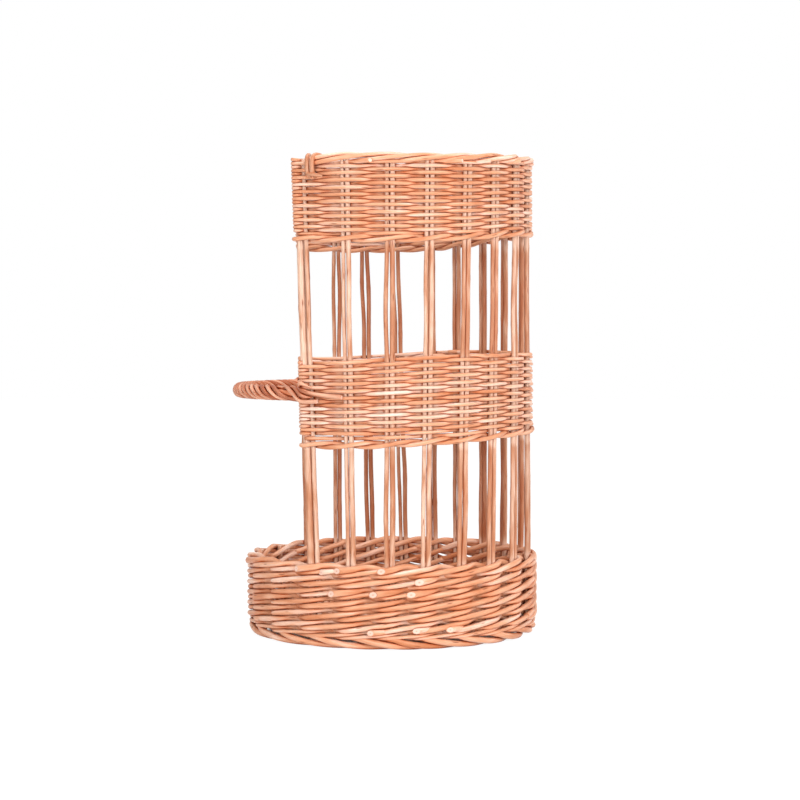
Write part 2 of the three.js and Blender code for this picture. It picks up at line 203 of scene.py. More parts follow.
def rod_axes(points):
    tangents = np.gradient(points, axis=0)
    tangents /= np.linalg.norm(tangents, axis=1, keepdims=True)
    normals = np.zeros_like(points)
    steep = abs(tangents[0][2]) >= STEEP
    normal = np.array([1.0, 0.0, 0.0]) if steep else np.array([0.0, 0.0, 1.0])
    for i, tangent in enumerate(tangents):
        normal = unit(normal - tangent * (normal @ tangent))
        normals[i] = normal
    return tangents, normals, np.cross(tangents, normals)


def cut_room(radius, tangent, cut):
    if cut is None:
        return 0
    square = abs(tangent @ unit(np.asarray(cut, float)))
    slant = math.sqrt(1 - min(square, 1) ** 2) / square
    return CUT_SPARE * radius * slant + CUT_MARGIN * radius


def clear_ends(points, start_room, end_room):
    length = run_length(points)
    keep = (length >= start_room) & (length <= length[-1] - end_room)
    keep[[0, -1]] = True
    return keep


print("a square cut keeps", CUT_MARGIN, "of a radius clear")

# %% [markdown]
# A bundle gathers the rods of one piece into one mesh. Both ends of a rod are closed with a fan, so each
# rod is a solid of its own. Five values travel with the mesh for the material: a tone for each rod, how
# much paler it is from place to place (on the uprights partly painted light and shade), a mark on cut
# faces, how far out on them a point lies, and a map with the way round the rod and the length along it.

# %% Bundle of rods
class RodBundle:
    def __init__(self, sides):
        self.sides = sides
        self.vertices = []
        self.quads = []
        self.quad_maps = []
        self.fans = []
        self.fan_maps = []
        self.tones = []
        self.rims = []
        self.pales = []
        self.count = 0

    def add(self, points, radius, tone, start_cut=None, end_cut=None, pale=0.0, side_light_shade=0.0):
        points = np.asarray(points, float)
        radius = np.array(np.broadcast_to(radius, len(points)))
        pale = np.array(np.broadcast_to(pale, len(points)))
        start_room = cut_room(radius[0], unit(points[1] - points[0]), start_cut)
        end_room = cut_room(radius[-1], unit(points[-1] - points[-2]), end_cut)
        keep = clear_ends(points, start_room, end_room)
        points = points[keep]
        radius = radius[keep]
        tangents, normals, binormals = rod_axes(points)
        around = 2 * math.pi * np.arange(self.sides) / self.sides
        offsets = np.cos(around)[None, :, None] * normals[:, None, :]
        offsets = offsets + np.sin(around)[None, :, None] * binormals[:, None, :]
        offsets = offsets * radius[:, None, None]
        rings = points[:, None, :] + offsets
        for end, cut in ((0, start_cut), (-1, end_cut)):
            if cut is not None:
                cut = unit(np.asarray(cut, float))
                slide = offsets[end] @ cut / (tangents[end] @ cut)
                rings[end] -= slide[:, None] * tangents[end]
        # Faces turned outward are painted paler and faces turned inward deeper: painted light and shade.
        facing = np.einsum("nsk,nk->ns", offsets, outward(points)) / radius[:, None]
        self.store(points, rings, tone, pale[keep][:, None] + side_light_shade * facing)

    def store(self, points, rings, tone, pale):
        n, sides = rings.shape[:2]
        first = self.count
        self.vertices += [rings.reshape(-1, 3), rings[0].mean(axis=0)[None], rings[-1].mean(axis=0)[None]]
        row, side = np.meshgrid(np.arange(n - 1), np.arange(sides), indexing="ij")
        following = (side + 1) % sides
        corners = [row * sides + side, row * sides + following]
        corners += [(row + 1) * sides + following, (row + 1) * sides + side]
        self.quads.append(first + np.stack(corners, axis=-1).reshape(-1, 4))
        length = run_length(points)
        low = length[row]
        high = length[row + 1]
        here = side / sides
        there = (side + 1) / sides
        maps = np.stack([here, low, there, low, there, high, here, high], axis=-1)
        self.quad_maps.append(maps.reshape(-1, 2))
        ring = np.arange(sides)
        ahead = (ring + 1) % sides
        start_centre = np.full(sides, n * sides)
        last = (n - 1) * sides
        self.fans.append(first + np.stack([start_centre, ahead, ring], axis=-1))
        self.fans.append(first + np.stack([start_centre + 1, last + ring, last + ahead], axis=-1))
        self.fan_maps.append(np.zeros((2 * 3 * sides, 2)))
        size = n * sides + 2
        self.tones.append(np.full(size, tone))
        rim = np.ones(size)
        rim[-2:] = 0
        self.rims.append(rim)
        self.pales.append(np.concatenate([pale.ravel(), pale[[0, -1]].mean(axis=1)]))
        self.count += size

    def build(self, name, material, node):
        quads = np.concatenate(self.quads)
        fans = np.concatenate(self.fans)
        mesh = bpy.data.meshes.new(name)
        mesh.from_pydata(np.concatenate(self.vertices).tolist(), [], quads.tolist() + fans.tolist())
        layer = mesh.uv_layers.new(name="rod")
        maps = np.concatenate(self.quad_maps + self.fan_maps)
        layer.data.foreach_set("uv", maps.astype(np.float32).ravel())
        add_values(mesh, "tone", "POINT", np.concatenate(self.tones))
        add_values(mesh, "rim", "POINT", np.concatenate(self.rims))
        add_values(mesh, "pale", "POINT", np.concatenate(self.pales))
        cut_faces = np.concatenate([np.zeros(len(quads)), np.ones(len(fans))])
        add_values(mesh, "cut", "FACE", cut_faces)
        mesh.polygons.foreach_set("use_smooth", cut_faces < 0.5)
        mesh.materials.append(material)
        piece = bpy.data.objects.new(name, mesh)
        bpy.context.scene.collection.objects.link(piece)
        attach(piece, "root")
        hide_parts(node)


def add_values(mesh, name, domain, values):
    layer = mesh.attributes.new(name, "FLOAT", domain)
    layer.data.foreach_set("value", np.asarray(values, np.float32))


print("a bundle of rods can be filled and built")

# %% [markdown]
# Nothing in a hand-made basket is quite even. A ripple is a slow random wave for thickness or level, made
# of three sines so that it never looks regular. A smooth curve runs through a few control points, which
# is all that a hook or a stroke of the foot needs. Where a stroke is given as straight stretches instead,
# averaging neighbours rounds its corners.

# %% Ripples and smooth curves
RIPPLE_SHARES = (1.0, 0.53, 0.29)


def ripple(positions, reach, wavelength):
    total = np.zeros(len(positions))
    for share in RIPPLE_SHARES:
        phase = rng.uniform(0, 2 * math.pi)
        total += share * np.sin(2 * math.pi * positions / (wavelength * share) + phase)
    return reach * total / sum(RIPPLE_SHARES)


def smooth_curve(controls, per_span):
    controls = np.asarray(controls, float)
    padded = np.vstack([2 * controls[0] - controls[1], controls, 2 * controls[-1] - controls[-2]])
    share = np.linspace(0, 1, per_span, endpoint=False)[:, None]
    spans = []
    for a, b, c, d in zip(padded[:-3], padded[1:-2], padded[2:-1], padded[3:]):
        bend = 2 * a - 5 * b + 4 * c - d
        twist = 3 * b - a - 3 * c + d
        spans.append(0.5 * (2 * b + (c - a) * share + bend * share ** 2 + twist * share ** 3))
    return np.vstack(spans + [controls[-1:]])


def smooth_values(values, rounds):
    for _ in range(rounds):
        inner = 0.25 * values[:-2] + 0.5 * values[1:-1] + 0.25 * values[2:]
        values = np.concatenate([values[:1], inner, values[-1:]])
    return values


print("waves in a ripple:", len(RIPPLE_SHARES))

# %% [markdown]
# Buff willow is boiled in its bark and then peeled, which stains it a warm pinkish orange. A rod has
# fine streaks along its length, slow changes of tone, small dark bud marks, and a satin skin. An image of
# grain would repeat from rod to rod. Noise laid over the rod's own map follows every bend and doesn't
# repeat. It lives in a node group, so that every willow material shares the masks and only mixes its own
# colours from them.

# %% Node helpers
def srgb(red, green, blue):
    def linear(value):
        value = value / 255
        return value / 12.92 if value <= 0.04045 else ((value + 0.055) / 1.055) ** 2.4
    return (linear(red), linear(green), linear(blue), 1.0)


def link(tree, from_socket, to_socket):
    tree.links.new(from_socket, to_socket)


def math_node(tree, operation, first, second=None):
    node = tree.nodes.new("ShaderNodeMath")
    node.operation = operation
    for socket, value in zip(node.inputs, (first, second)):
        if value is None:
            continue
        if isinstance(value, (int, float)):
            socket.default_value = value
        else:
            link(tree, value, socket)
    return node.outputs[0]


def mix_colour(tree, factor, first, second):
    node = tree.nodes.new("ShaderNodeMix")
    node.data_type = "RGBA"
    link(tree, factor, node.inputs[0])
    for socket, value in ((node.inputs[6], first), (node.inputs[7], second)):
        if isinstance(value, tuple):
            socket.default_value = value
        else:
            link(tree, value, socket)
    return node.outputs[2]


def attribute_value(tree, name):
    node = tree.nodes.new("ShaderNodeAttribute")
    node.attribute_name = name
    return node.outputs["Fac"]


def noise_value(tree, vector, scale, detail):
    node = tree.nodes.new("ShaderNodeTexNoise")
    node.inputs["Scale"].default_value = scale
    node.inputs["Detail"].default_value = detail
    link(tree, vector, node.inputs["Vector"])
    return node.outputs["Fac"]


def range_value(tree, value, low, high, to_low, to_high):
    node = tree.nodes.new("ShaderNodeMapRange")
    node.inputs["From Min"].default_value = low
    node.inputs["From Max"].default_value = high
    node.inputs["To Min"].default_value = to_low
    node.inputs["To Max"].default_value = to_high
    link(tree, value, node.inputs["Value"])
    return node.outputs["Result"]


print("white in linear light:", srgb(255, 255, 255))

# %% Willow node groups
TONE_SHIFT = 211.0
TONE_SHARE = 0.4
SLOW_SHARE = 0.6
BUD_DENT = 0.6
SLOW_RANGE = (0.25, 0.75)
BUD_RANGE = (0.08, 0.16)
PITH_RANGE = (0.12, 0.3)
SKIN_RANGE = (0.74, 0.94)


def rod_vector(tree, across, along):
    rod_map = tree.nodes.new("ShaderNodeUVMap")
    rod_map.uv_map = "rod"
    split = tree.nodes.new("ShaderNodeSeparateXYZ")
    link(tree, rod_map.outputs["UV"], split.inputs[0])
    angle = math_node(tree, "MULTIPLY", split.outputs["X"], 2 * math.pi)
    shift = math_node(tree, "MULTIPLY", attribute_value(tree, "tone"), TONE_SHIFT)
    length = math_node(tree, "MULTIPLY", split.outputs["Y"], along)
    join = tree.nodes.new("ShaderNodeCombineXYZ")
    link(tree, math_node(tree, "MULTIPLY", math_node(tree, "COSINE", angle), across), join.inputs["X"])
    link(tree, math_node(tree, "MULTIPLY", math_node(tree, "SINE", angle), across), join.inputs["Y"])
    link(tree, math_node(tree, "ADD", length, shift), join.inputs["Z"])
    return join.outputs[0]


def make_group(name, outputs):
    group = bpy.data.node_groups.new(name, "ShaderNodeTree")
    for output in outputs:
        group.interface.new_socket(output, in_out="OUTPUT", socket_type="NodeSocketFloat")
    return group, group.nodes.new("NodeGroupOutput")


def make_grain_group():
    group, result = make_group("Willow grain", ("Shade", "Streak", "Bud", "Height"))
    fine = noise_value(group, rod_vector(group, across=2.4, along=22.0), scale=2.0, detail=5.0)
    slow = noise_value(group, rod_vector(group, across=0.5, along=30.0), scale=1.0, detail=2.0)
    tone = math_node(group, "MULTIPLY", attribute_value(group, "tone"), TONE_SHARE)
    shade = math_node(group, "ADD", tone, range_value(group, slow, *SLOW_RANGE, 0.0, SLOW_SHARE))
    shade = math_node(group, "ADD", shade, attribute_value(group, "pale"))
    buds = group.nodes.new("ShaderNodeTexVoronoi")
    buds.inputs["Scale"].default_value = 1.0
    link(group, rod_vector(group, across=0.55, along=34.0), buds.inputs["Vector"])
    mark = range_value(group, buds.outputs["Distance"], *BUD_RANGE, 1.0, 0.0)
    height = math_node(group, "SUBTRACT", fine, math_node(group, "MULTIPLY", mark, BUD_DENT))
    link(group, shade, result.inputs["Shade"])
    link(group, fine, result.inputs["Streak"])
    link(group, mark, result.inputs["Bud"])
    link(group, height, result.inputs["Height"])
    return group


def make_cut_group():
    group, result = make_group("Cut end", ("Mask", "Pith"))
    rim = attribute_value(group, "rim")
    pith = range_value(group, rim, *PITH_RANGE, 1.0, 0.0)
    skin = range_value(group, rim, *SKIN_RANGE, 1.0, 0.0)
    mask = math_node(group, "MULTIPLY", attribute_value(group, "cut"), skin)
    link(group, mask, result.inputs["Mask"])
    link(group, pith, result.inputs["Pith"])
    return group


grain_group = make_grain_group()
cut_group = make_cut_group()
print("node groups:", grain_group.name, "and", cut_group.name)

# %% [markdown]
# Each willow material runs the shared masks through its own colours: a ramp from the deep to the pale
# tone of its rods, thin darker streaks, brown bud marks, and bare pale wood with a pith dot on cut
# faces. Where rods lie close together their flanks are painted more orange and the crevices a deep
# brown, as painted shade. That could be painted by hand, but the ambient occlusion node finds such
# places by itself. A little bump follows the streaks.

# %% Willow materials
CUT_WOOD = srgb(229, 194, 177)
PITH = srgb(208, 160, 138)
BUD_MARK = srgb(138, 74, 46)
# Painted shade: these two colours darken and warm the flanks and crevices where rods lie close.
PAINTED_FLANK_SHADE = srgb(190, 90, 40)
PAINTED_CREVICE_SHADE = srgb(118, 34, 6)
DEEP_STOP = 0.12
MIDDLE_STOP = 0.5
PALE_STOP = 0.88
STREAK_RANGE = (0.32, 0.6)
FLANK_SHADE_RANGE = (0.4, 0.98)
CREVICE_SHADE_RANGE = (0.15, 0.6)
SATIN_RANGE = (0.3, 0.7)
STREAK_DEPTH = 0.5
BUD_DEPTH = 0.85
SATIN_SWING = 0.08
GLOSS = 0.25
GRAIN_STRENGTH = 0.5
GRAIN_RELIEF = 0.4 * MM
PAINTED_SHADE_SAMPLES = 8


def tone_ramp(tree, shade, deep, middle, pale):
    ramp = tree.nodes.new("ShaderNodeValToRGB")
    ramp.color_ramp.elements[0].position = DEEP_STOP
    ramp.color_ramp.elements[0].color = deep
    ramp.color_ramp.elements[1].position = PALE_STOP
    ramp.color_ramp.elements[1].color = pale
    ramp.color_ramp.elements.new(MIDDLE_STOP).color = middle
    link(tree, shade, ramp.inputs["Fac"])
    return ramp.outputs["Color"]


def make_willow(name, deep, middle, pale, rough, painted_shade, crevice_reach):
    material = bpy.data.materials.new(name)
    material.use_nodes = True
    tree = material.node_tree
    shader = tree.nodes["Principled BSDF"]
    grain = tree.nodes.new("ShaderNodeGroup")
    grain.node_tree = grain_group
    cut = tree.nodes.new("ShaderNodeGroup")
    cut.node_tree = cut_group
    skin = tone_ramp(tree, grain.outputs["Shade"], deep, middle, pale)
    streak = range_value(tree, grain.outputs["Streak"], *STREAK_RANGE, STREAK_DEPTH, 0.0)
    skin = mix_colour(tree, streak, skin, deep)
    bud = math_node(tree, "MULTIPLY", grain.outputs["Bud"], BUD_DEPTH)
    skin = mix_colour(tree, bud, skin, BUD_MARK)
    wood = mix_colour(tree, cut.outputs["Pith"], CUT_WOOD, PITH)
    skin = mix_colour(tree, cut.outputs["Mask"], skin, wood)
    # The ambient occlusion node finds where rods lie close; there the flanks are painted orange and the
    # crevices deep brown, as painted shade.
    near = tree.nodes.new("ShaderNodeAmbientOcclusion")
    near.samples = PAINTED_SHADE_SAMPLES
    near.inputs["Distance"].default_value = crevice_reach
    flank_shade = range_value(tree, near.outputs["AO"], *FLANK_SHADE_RANGE, painted_shade, 0.0)
    crevice_shade = range_value(tree, near.outputs["AO"], *CREVICE_SHADE_RANGE, painted_shade, 0.0)
    skin = mix_colour(tree, flank_shade, skin, PAINTED_FLANK_SHADE)
    link(tree, mix_colour(tree, crevice_shade, skin, PAINTED_CREVICE_SHADE), shader.inputs["Base Color"])
    dull = rough + SATIN_SWING
    shiny = rough - SATIN_SWING
    satin = range_value(tree, grain.outputs["Streak"], *SATIN_RANGE, dull, shiny)
    link(tree, satin, shader.inputs["Roughness"])
    shader.inputs["Specular IOR Level"].default_value = GLOSS
    bump = tree.nodes.new("ShaderNodeBump")
    bump.inputs["Strength"].default_value = GRAIN_STRENGTH
    bump.inputs["Distance"].default_value = GRAIN_RELIEF
    link(tree, grain.outputs["Height"], bump.inputs["Height"])
    link(tree, bump.outputs["Normal"], shader.inputs["Normal"])
    return material


# Each material below sets how strong its painted shade is and how far the occlusion reaches.
upright_willow = make_willow(
    "upright willow", deep=srgb(158, 90, 55), middle=srgb(185, 130, 98), pale=srgb(219, 186, 164),
    rough=0.32, painted_shade=0.7, crevice_reach=1.3 * MM)
woven_willow = make_willow(
    "woven willow", deep=srgb(192, 122, 83), middle=srgb(219, 165, 132), pale=srgb(237, 213, 198),
    rough=0.40, painted_shade=0.9, crevice_reach=3.2 * MM)
handle_willow = make_willow(
    "handle willow", deep=srgb(144, 76, 50), middle=srgb(180, 116, 87), pale=srgb(222, 172, 144),
    rough=0.46, painted_shade=0.95, crevice_reach=5 * MM)
stick_willow = make_willow(
    "stick willow", deep=srgb(196, 118, 80), middle=srgb(222, 156, 122), pale=srgb(240, 196, 166),
    rough=0.54, painted_shade=0.85, crevice_reach=4 * MM)
willows = (upright_willow, woven_willow, handle_willow, stick_willow)
print("materials:", ", ".join(willow.name for willow in willows))

# %% [markdown]
# The uprights stand in pairs: a stake and a thinner bye-stake. Plain cylinders would look machine made.
# These are straight where the weave grips them and free in the open gaps, so there each one bows a
# little and drifts to one side. Small swellings sit where the buds were. Under the weave the rods are
# painted paler, as painted light on the spots that show between the strokes; their outer faces are
# painted lighter and their inner faces deeper, as painted light and shade; and the posts are deeper in
# colour towards their thick lower ends.

# %% Shape of an upright
GAPS = ((84 * MM, 199 * MM), (281 * MM, 398 * MM))
GAP_FADE = 5 * MM
# Painted light: the uprights are painted paler where the weave covers them.
WEAVE_PAINTED_LIGHT = 0.35
POST_FADE = 0.8
# Painted light and shade: the outer faces of the uprights are paler, the inner faces deeper.
PAINTED_SIDE_LIGHT_SHADE = 0.15
INNER_TONE = -0.06
UPRIGHT_SIDES = 10
UPRIGHT_STEP = 5.5 * MM
UPRIGHT_LEAST = 12
WAVE_SHARE = 0.6
BUTT_SHARE = 1.07
UPRIGHT_TAPER = 0.14
FIRST_BUD = (25, 60)
BUD_SPACING = (38, 85)
BUD_SWELL = (0.05, 0.13)
BUD_LENGTH = 3.2 * MM


def upright_path(station, offset, top, bow, drift):
    height = np.linspace(ROD_BOTTOM, top, max(UPRIGHT_LEAST, int((top - ROD_BOTTOM) / UPRIGHT_STEP)))
    sideways = np.full(len(height), float(offset))
    radial = np.zeros(len(height))
    for low, high in GAPS:
        share = np.clip((height - low) / (high - low), 0, 1)
        swell = np.sin(math.pi * share) ** 2
        wave = np.sin(2 * math.pi * share) * np.sin(math.pi * share)
        sideways += swell * (bow + rng.normal(0, drift)) + wave * rng.normal(0, WAVE_SHARE * drift)
        radial += swell * rng.normal(0, drift)
    angle = station_angle(station, height) + sideways / UPRIGHT_CIRCLE
    return place(angle, UPRIGHT_CIRCLE + radial, height), height


def upright_radius(height, radius):
    thick = radius * (BUTT_SHARE - UPRIGHT_TAPER * height / BASKET_HEIGHT)
    at = rng.uniform(*FIRST_BUD) * MM
    while at < height[-1]:
        swell = rng.uniform(*BUD_SWELL)
        thick = thick + radius * swell * np.exp(-((height - at) / BUD_LENGTH) ** 2)
        at += rng.uniform(*BUD_SPACING) * MM
    return thick


def upright_pale(height, fade):
    free = np.zeros(len(height))
    for low, high in GAPS:
        free = np.maximum(free, np.clip(np.minimum(height - low, high - height) / GAP_FADE, 0, 1))
    # Under the weave the rods are painted paler: painted light on the recessed spots between the strokes.
    return INNER_TONE + WEAVE_PAINTED_LIGHT * (1 - free) + fade * (height / BASKET_HEIGHT - 0.5)


def add_upright(name, station, offset, radius, top, bow, drift, tone, fade=0.0):
    points, height = upright_path(station, offset, top, bow, drift)
    bundle = RodBundle(UPRIGHT_SIDES)
    bundle.add(points, upright_radius(height, radius), tone, pale=upright_pale(height, fade), side_light_shade=PAINTED_SIDE_LIGHT_SHADE)
    bundle.build(name + "_rod", upright_willow, name)


print("open gaps between the bands:", len(GAPS))

# %% Uprights
PAIR_DRIFT = 0.45 * MM
PAIR_TONES = (0.25, 0.95)
PAIR_PART = (-0.1, 0.5)
STAKE_SHARES = (0.94, 1.12)
BYE_STAKE_SHARES = (0.95, 1.18)
POST_DRIFT = 0.4 * MM
END_ROD_DRIFT = 0.5 * MM
POST_TONE = 0.75
FRONT_TONE = 0.5


def add_pair(label, station, sign):
    stake = STAKE_RADIUS * rng.uniform(*STAKE_SHARES)
    bye_stake = BYE_STAKE_RADIUS * rng.uniform(*BYE_STAKE_SHARES)
    half = sign * (PAIR_GAP + STAKE_RADIUS + BYE_STAKE_RADIUS) / 2
    part = sign * rng.uniform(*PAIR_PART) * MM
    tones = rng.uniform(*PAIR_TONES, 2)
    add_upright("stake_" + label, station, -half, stake, TALL_TOP, -part, PAIR_DRIFT, tones[0])
    add_upright("bye_stake_" + label, station, half, bye_stake, TALL_TOP, part, PAIR_DRIFT, tones[1])


def add_post(side, station, sign):
    behind = -sign * (PAIR_GAP + POST_RADIUS + END_ROD_RADIUS)
    add_upright("end_post_" + side, station, 0, POST_RADIUS, TALL_TOP, 0, POST_DRIFT, POST_TONE, POST_FADE)
    add_upright("end_rod_" + side, station, behind, END_ROD_RADIUS, TALL_TOP, 0, END_ROD_DRIFT, POST_TONE)


add_post("right", 0, 1)
for k in range(1, RIGHT_PAIRS + 1):
    add_pair(f"right_{k}", RIGHT_PAIRS + 1 - k, 1)
add_pair("back", RIGHT_PAIRS + 1, 1)
for k in range(1, LEFT_PAIRS + 1):
    add_pair(f"left_{k}", RIGHT_PAIRS + 1 + k, -1)
add_post("left", LAST, -1)
for k in range(1, FRONT_STAKES + 1):
    name = f"front_stake_{k}"
    add_upright(name, LAST + k, 0, STAKE_RADIUS, SHORT_TOP, bow=0, drift=0, tone=FRONT_TONE)
print("tall stations:", LAST + 1, "front stakes:", FRONT_STAKES)

# %% [markdown]
# A band is plain weaving, which basket makers call randing. One weaver at a time goes in front of one
# pair and behind the next, turns round the end post and comes back one row higher. At a post it takes
# an extra turn, or the ends of the rows would leave the post half bare. An array modifier could repeat
# one cell of weave, but hand spacing makes every cell different. So the whole band is one long curve,
# cut into rods where a join would be hidden on the inside.

# %% Path of a weaver
WEAVE_SIDES = 8
SAMPLES = 12
WEAVER = 1.82 * MM
ROW_PITCH = 3.4 * MM
WEAVER_PRESS = 0.4 * MM
PAIR_REACH = STAKE_RADIUS + WEAVER - WEAVER_PRESS
POST_REACH = 5.2 * MM
POST_BLEND = 0.8
WRAP_TURNS = 1.5
WRAP_POINTS = 18
HALF_TURN = 0.5
LEAST_CLIMB = 0.01
INSIDE_SHARE = 0.9


def weave_reach(station):
    to_post = np.minimum(station, LAST - station)
    share = np.clip(1 - to_post / POST_BLEND, 0, 1)
    return PAIR_REACH + (POST_REACH - PAIR_REACH) * eased(share)


def post_wrap(sign, low, high, reach, turns):
    station = 0 if sign > 0 else LAST
    centre = wall_path(station, 0, low)
    drift = wall_path(station, 0, low + MM) - centre
    out, along = wall_axes(station_angle(station, low))
    turn = np.linspace(0, turns, int(WRAP_POINTS * turns) + 1)[1:-1]
    wind = 2 * math.pi * turn[:, None]
    rise = np.clip((turn - HALF_TURN) / max(turns - HALF_TURN, LEAST_CLIMB), 0, 1)
    climb = drift * ((high - low) * eased(rise) / MM)[:, None]
    return centre + reach * (-np.cos(wind) * out + np.sin(wind) * sign * along) + climb


def band_weaver(low, rows):
    points = []
    inside = []
    for row in range(rows):
        station = np.linspace(0, LAST, LAST * SAMPLES + 1)
        side = 1 if row % 2 == 0 else -1
        window = np.clip(np.minimum(station, LAST - station), 0, 1)
        offset = side * weave_reach(station) * np.cos(math.pi * station)
        offset += window * ripple(station, reach=0.35 * MM, wavelength=2.7)
        height = window * ripple(station, reach=0.45 * MM, wavelength=4.3)
        height += lifted(station, low + row * ROW_PITCH)
        track = wall_path(station, offset, height)
        points.append(track[::side])
        inside.append(offset[::side] < -INSIDE_SHARE * PAIR_REACH)
        if row < rows - 1:
            here, there = lifted(0, low + np.array([row, row + 1]) * ROW_PITCH)
            wrap = post_wrap(-side, here, there, POST_REACH, WRAP_TURNS)
            points.append(wrap)
            inside.append(np.zeros(len(wrap), bool))
    return np.vstack(points), np.concatenate(inside)


print("a weaver passes", LAST + 1, "stations in a row")

# %% Woven bands
JOIN = 4
JOIN_TUCK = 2.2 * MM
WEAVER_LENGTHS = (420 * MM, 760 * MM)
WEAVER_SHARES = (0.95, 1.05)
WEAVER_TAPER = (1.08, 0.94)
COIL_TONES = (0.3, 0.8)
BANDS = (("middle_band", 208.3 * MM, 22, 281 * MM), ("top_band", 407.3 * MM, 21, 479.5 * MM))


def cut_into_rods(points, inside, shortest, longest):
    length = run_length(points)
    cuts = [0]
    while length[-1] - length[cuts[-1]] > longest:
        wanted = length[cuts[-1]] + rng.uniform(shortest, longest)
        allowed = np.flatnonzero(inside & (length > length[cuts[-1]] + 0.5 * shortest))
        cuts.append(allowed[np.argmin(np.abs(length[allowed] - wanted))])
    return list(zip(cuts, cuts[1:] + [len(points) - 1]))


def add_coil(bundle, sign, low, high):
    turns = (high - low) / (2 * WEAVER)
    station = 0 if sign > 0 else LAST
    turn = np.linspace(0, turns, int(WRAP_POINTS * turns) + 1)
    height = low + (high - low) * turn / turns
    out, along = wall_axes(station_angle(station, height))
    wind = 2 * math.pi * turn[:, None]
    coil = wall_path(station, 0, height) + POST_REACH * (np.cos(wind) * out + np.sin(wind) * sign * along)
    bundle.add(coil, WEAVER, rng.uniform(*COIL_TONES))


def add_band(name, low, rows, coil_top):
    points, inside = band_weaver(low, rows)
    bundle = RodBundle(WEAVE_SIDES)
    for first, last in cut_into_rods(points, inside, *WEAVER_LENGTHS):
        start = max(first - JOIN, 0)
        stop = min(last + JOIN, len(points) - 1)
        rod = points[start:stop + 1].copy()
        tuck = np.zeros(len(rod))
        tuck[:2 * JOIN] = np.linspace(1, 0, 2 * JOIN)
        tuck[-2 * JOIN:] = np.maximum(tuck[-2 * JOIN:], np.linspace(0, 1, 2 * JOIN))
        rod -= outward(rod) * (tuck * JOIN_TUCK)[:, None]
        thick = WEAVER * rng.uniform(*WEAVER_SHARES) * np.linspace(*WEAVER_TAPER, len(rod))
        thick += ripple(np.arange(len(rod)) / SAMPLES, reach=0.07 * MM, wavelength=3.1)
        bundle.add(rod, thick, rng.uniform(0, 1))
    for sign in (1, -1):
        add_coil(bundle, sign, low + (rows - 1) * ROW_PITCH, coil_top)
    bundle.build(name + "_weave", woven_willow, name)


for name, low, rows, coil_top in BANDS:
    add_band(name, low, rows, coil_top)
    print(name, "has", rows, "rows")

# %% [markdown]
# Below each band two thicker rods are twined round each other, with every pair of uprights caught
# between them. Basket makers call it pairing, and it keeps the band from slipping down. A plain twist of
# two rods would run through the uprights, so each strand swings in and out with the stations. One rod is
# folded round the right post and makes one strand and the first half of the other, and a second rod
# takes over there.

# %% Twined edges
TWINER = 2.2 * MM
TWINE_REACH = STAKE_RADIUS + TWINER
TWINE_RISE = 2.0 * MM
TWINE_PAST = 30
TWINE_LAP = 8
TWINE_TAPER = (0.95, 1.05)
FIRST_TONES = (0.3, 0.8)
SECOND_TONES = (0.2, 0.9)
FOLD_TURNS = 0.5
TAIL_TURNS = 0.3
TWINED_EDGES = (("middle_band_edge", 203.5 * MM), ("top_band_edge", 402.5 * MM))


def twine_strand(height, side):
    station = np.linspace(0, LAST, LAST * SAMPLES + 1)
    window = np.clip(np.minimum(station, LAST - station), 0, 1)
    grow = 1 + (POST_RADIUS - STAKE_RADIUS) / TWINE_REACH * (1 - window)
    offset = side * TWINE_REACH * grow * np.cos(math.pi * station)
    wave = side * TWINE_RISE * np.sin(math.pi * station)
    stray = window * ripple(station, reach=0.5 * MM, wavelength=5.2)
    level = lifted(station, height) + wave + stray
    return wall_path(station, offset, level)


def add_twined_edge(name, height):
    outer = twine_strand(height, 1)
    inner = twine_strand(height, -1)
    reach = POST_RADIUS + TWINER
    level = float(lifted(0, height))
    fold = post_wrap(1, level, level, reach, FOLD_TURNS)
    tail = post_wrap(-1, level, level, reach, TAIL_TURNS)
    bundle = RodBundle(WEAVE_SIDES)
    half = len(inner) // 2 + TWINE_PAST
    first = np.vstack([inner[:half][::-1], fold, outer])
    bundle.add(first, TWINER * np.linspace(*TWINE_TAPER, len(first)), rng.uniform(*FIRST_TONES))
    second = np.vstack([inner[half - TWINE_LAP:], tail[::-1]])
    bundle.add(second, TWINER, rng.uniform(*SECOND_TONES))
    bundle.build(name + "_twine", woven_willow, name)


for name, height in TWINED_EDGES:
    add_twined_edge(name, height)
print("twined edges:", len(TWINED_EDGES))

# %% [markdown]
# The top border lays one rod from every upright: it comes out from behind its own pair, runs in front
# of the next one while it climbs, and dives over the top of the one after to the inside. One roped ring
# would be simpler, but it would miss how the strokes lie one above the other on the outside. Here and
# there a trimmed end shows below them. The border starts low at the lashings and rises to its full
# height away from them.

# %% Top border
BORDER_ROD = 2.15 * MM
BORDER_CLEAR = 0.4 * MM
BORDER_REACH = STAKE_RADIUS + BORDER_ROD + BORDER_CLEAR
BORDER_STARTS = 0.3
BORDER_RISE = 0.7
BORDER_DROP = 2.6 * MM
BORDER_POINTS = 45
BORDER_LEAST = 8
BORDER_STRAY = 0.25 * MM
BORDER_THICKNESS = (0.92, 1.06)
BORDER_TAPER = (1.08, 0.92)
BORDER_TONES = (0.2, 1)
BORDER_SHARES = (-0.6, -0.1, 0.12, 0.4, 1.0, 1.5, 1.8, 2.1, 2.5)
BORDER_SIDES = (-1, -0.6, 0, 1, 1, 1, 0.6, -0.5, -1)
BORDER_LEVELS = (474.5, 475.4, 476.0, 477.2, 479.6, 481.7, 482.6, 482.9, 481.5)
TRIM_PLACES = (1.6, 3.73, 4.58, 5.8, 9.4, 12.3, 14.7)
TRIM_SHARES = (-0.6, -0.35, -0.15, 0)
TRIM_SIDES = (-0.6, 0.6, 1.2, 1.75)
TRIM_LEVELS = (475.2, 475.6, 476.0, 476.4)
TRIM_TILT = np.array([0, 0, 0.15])
TRIM_OUT = 0.8
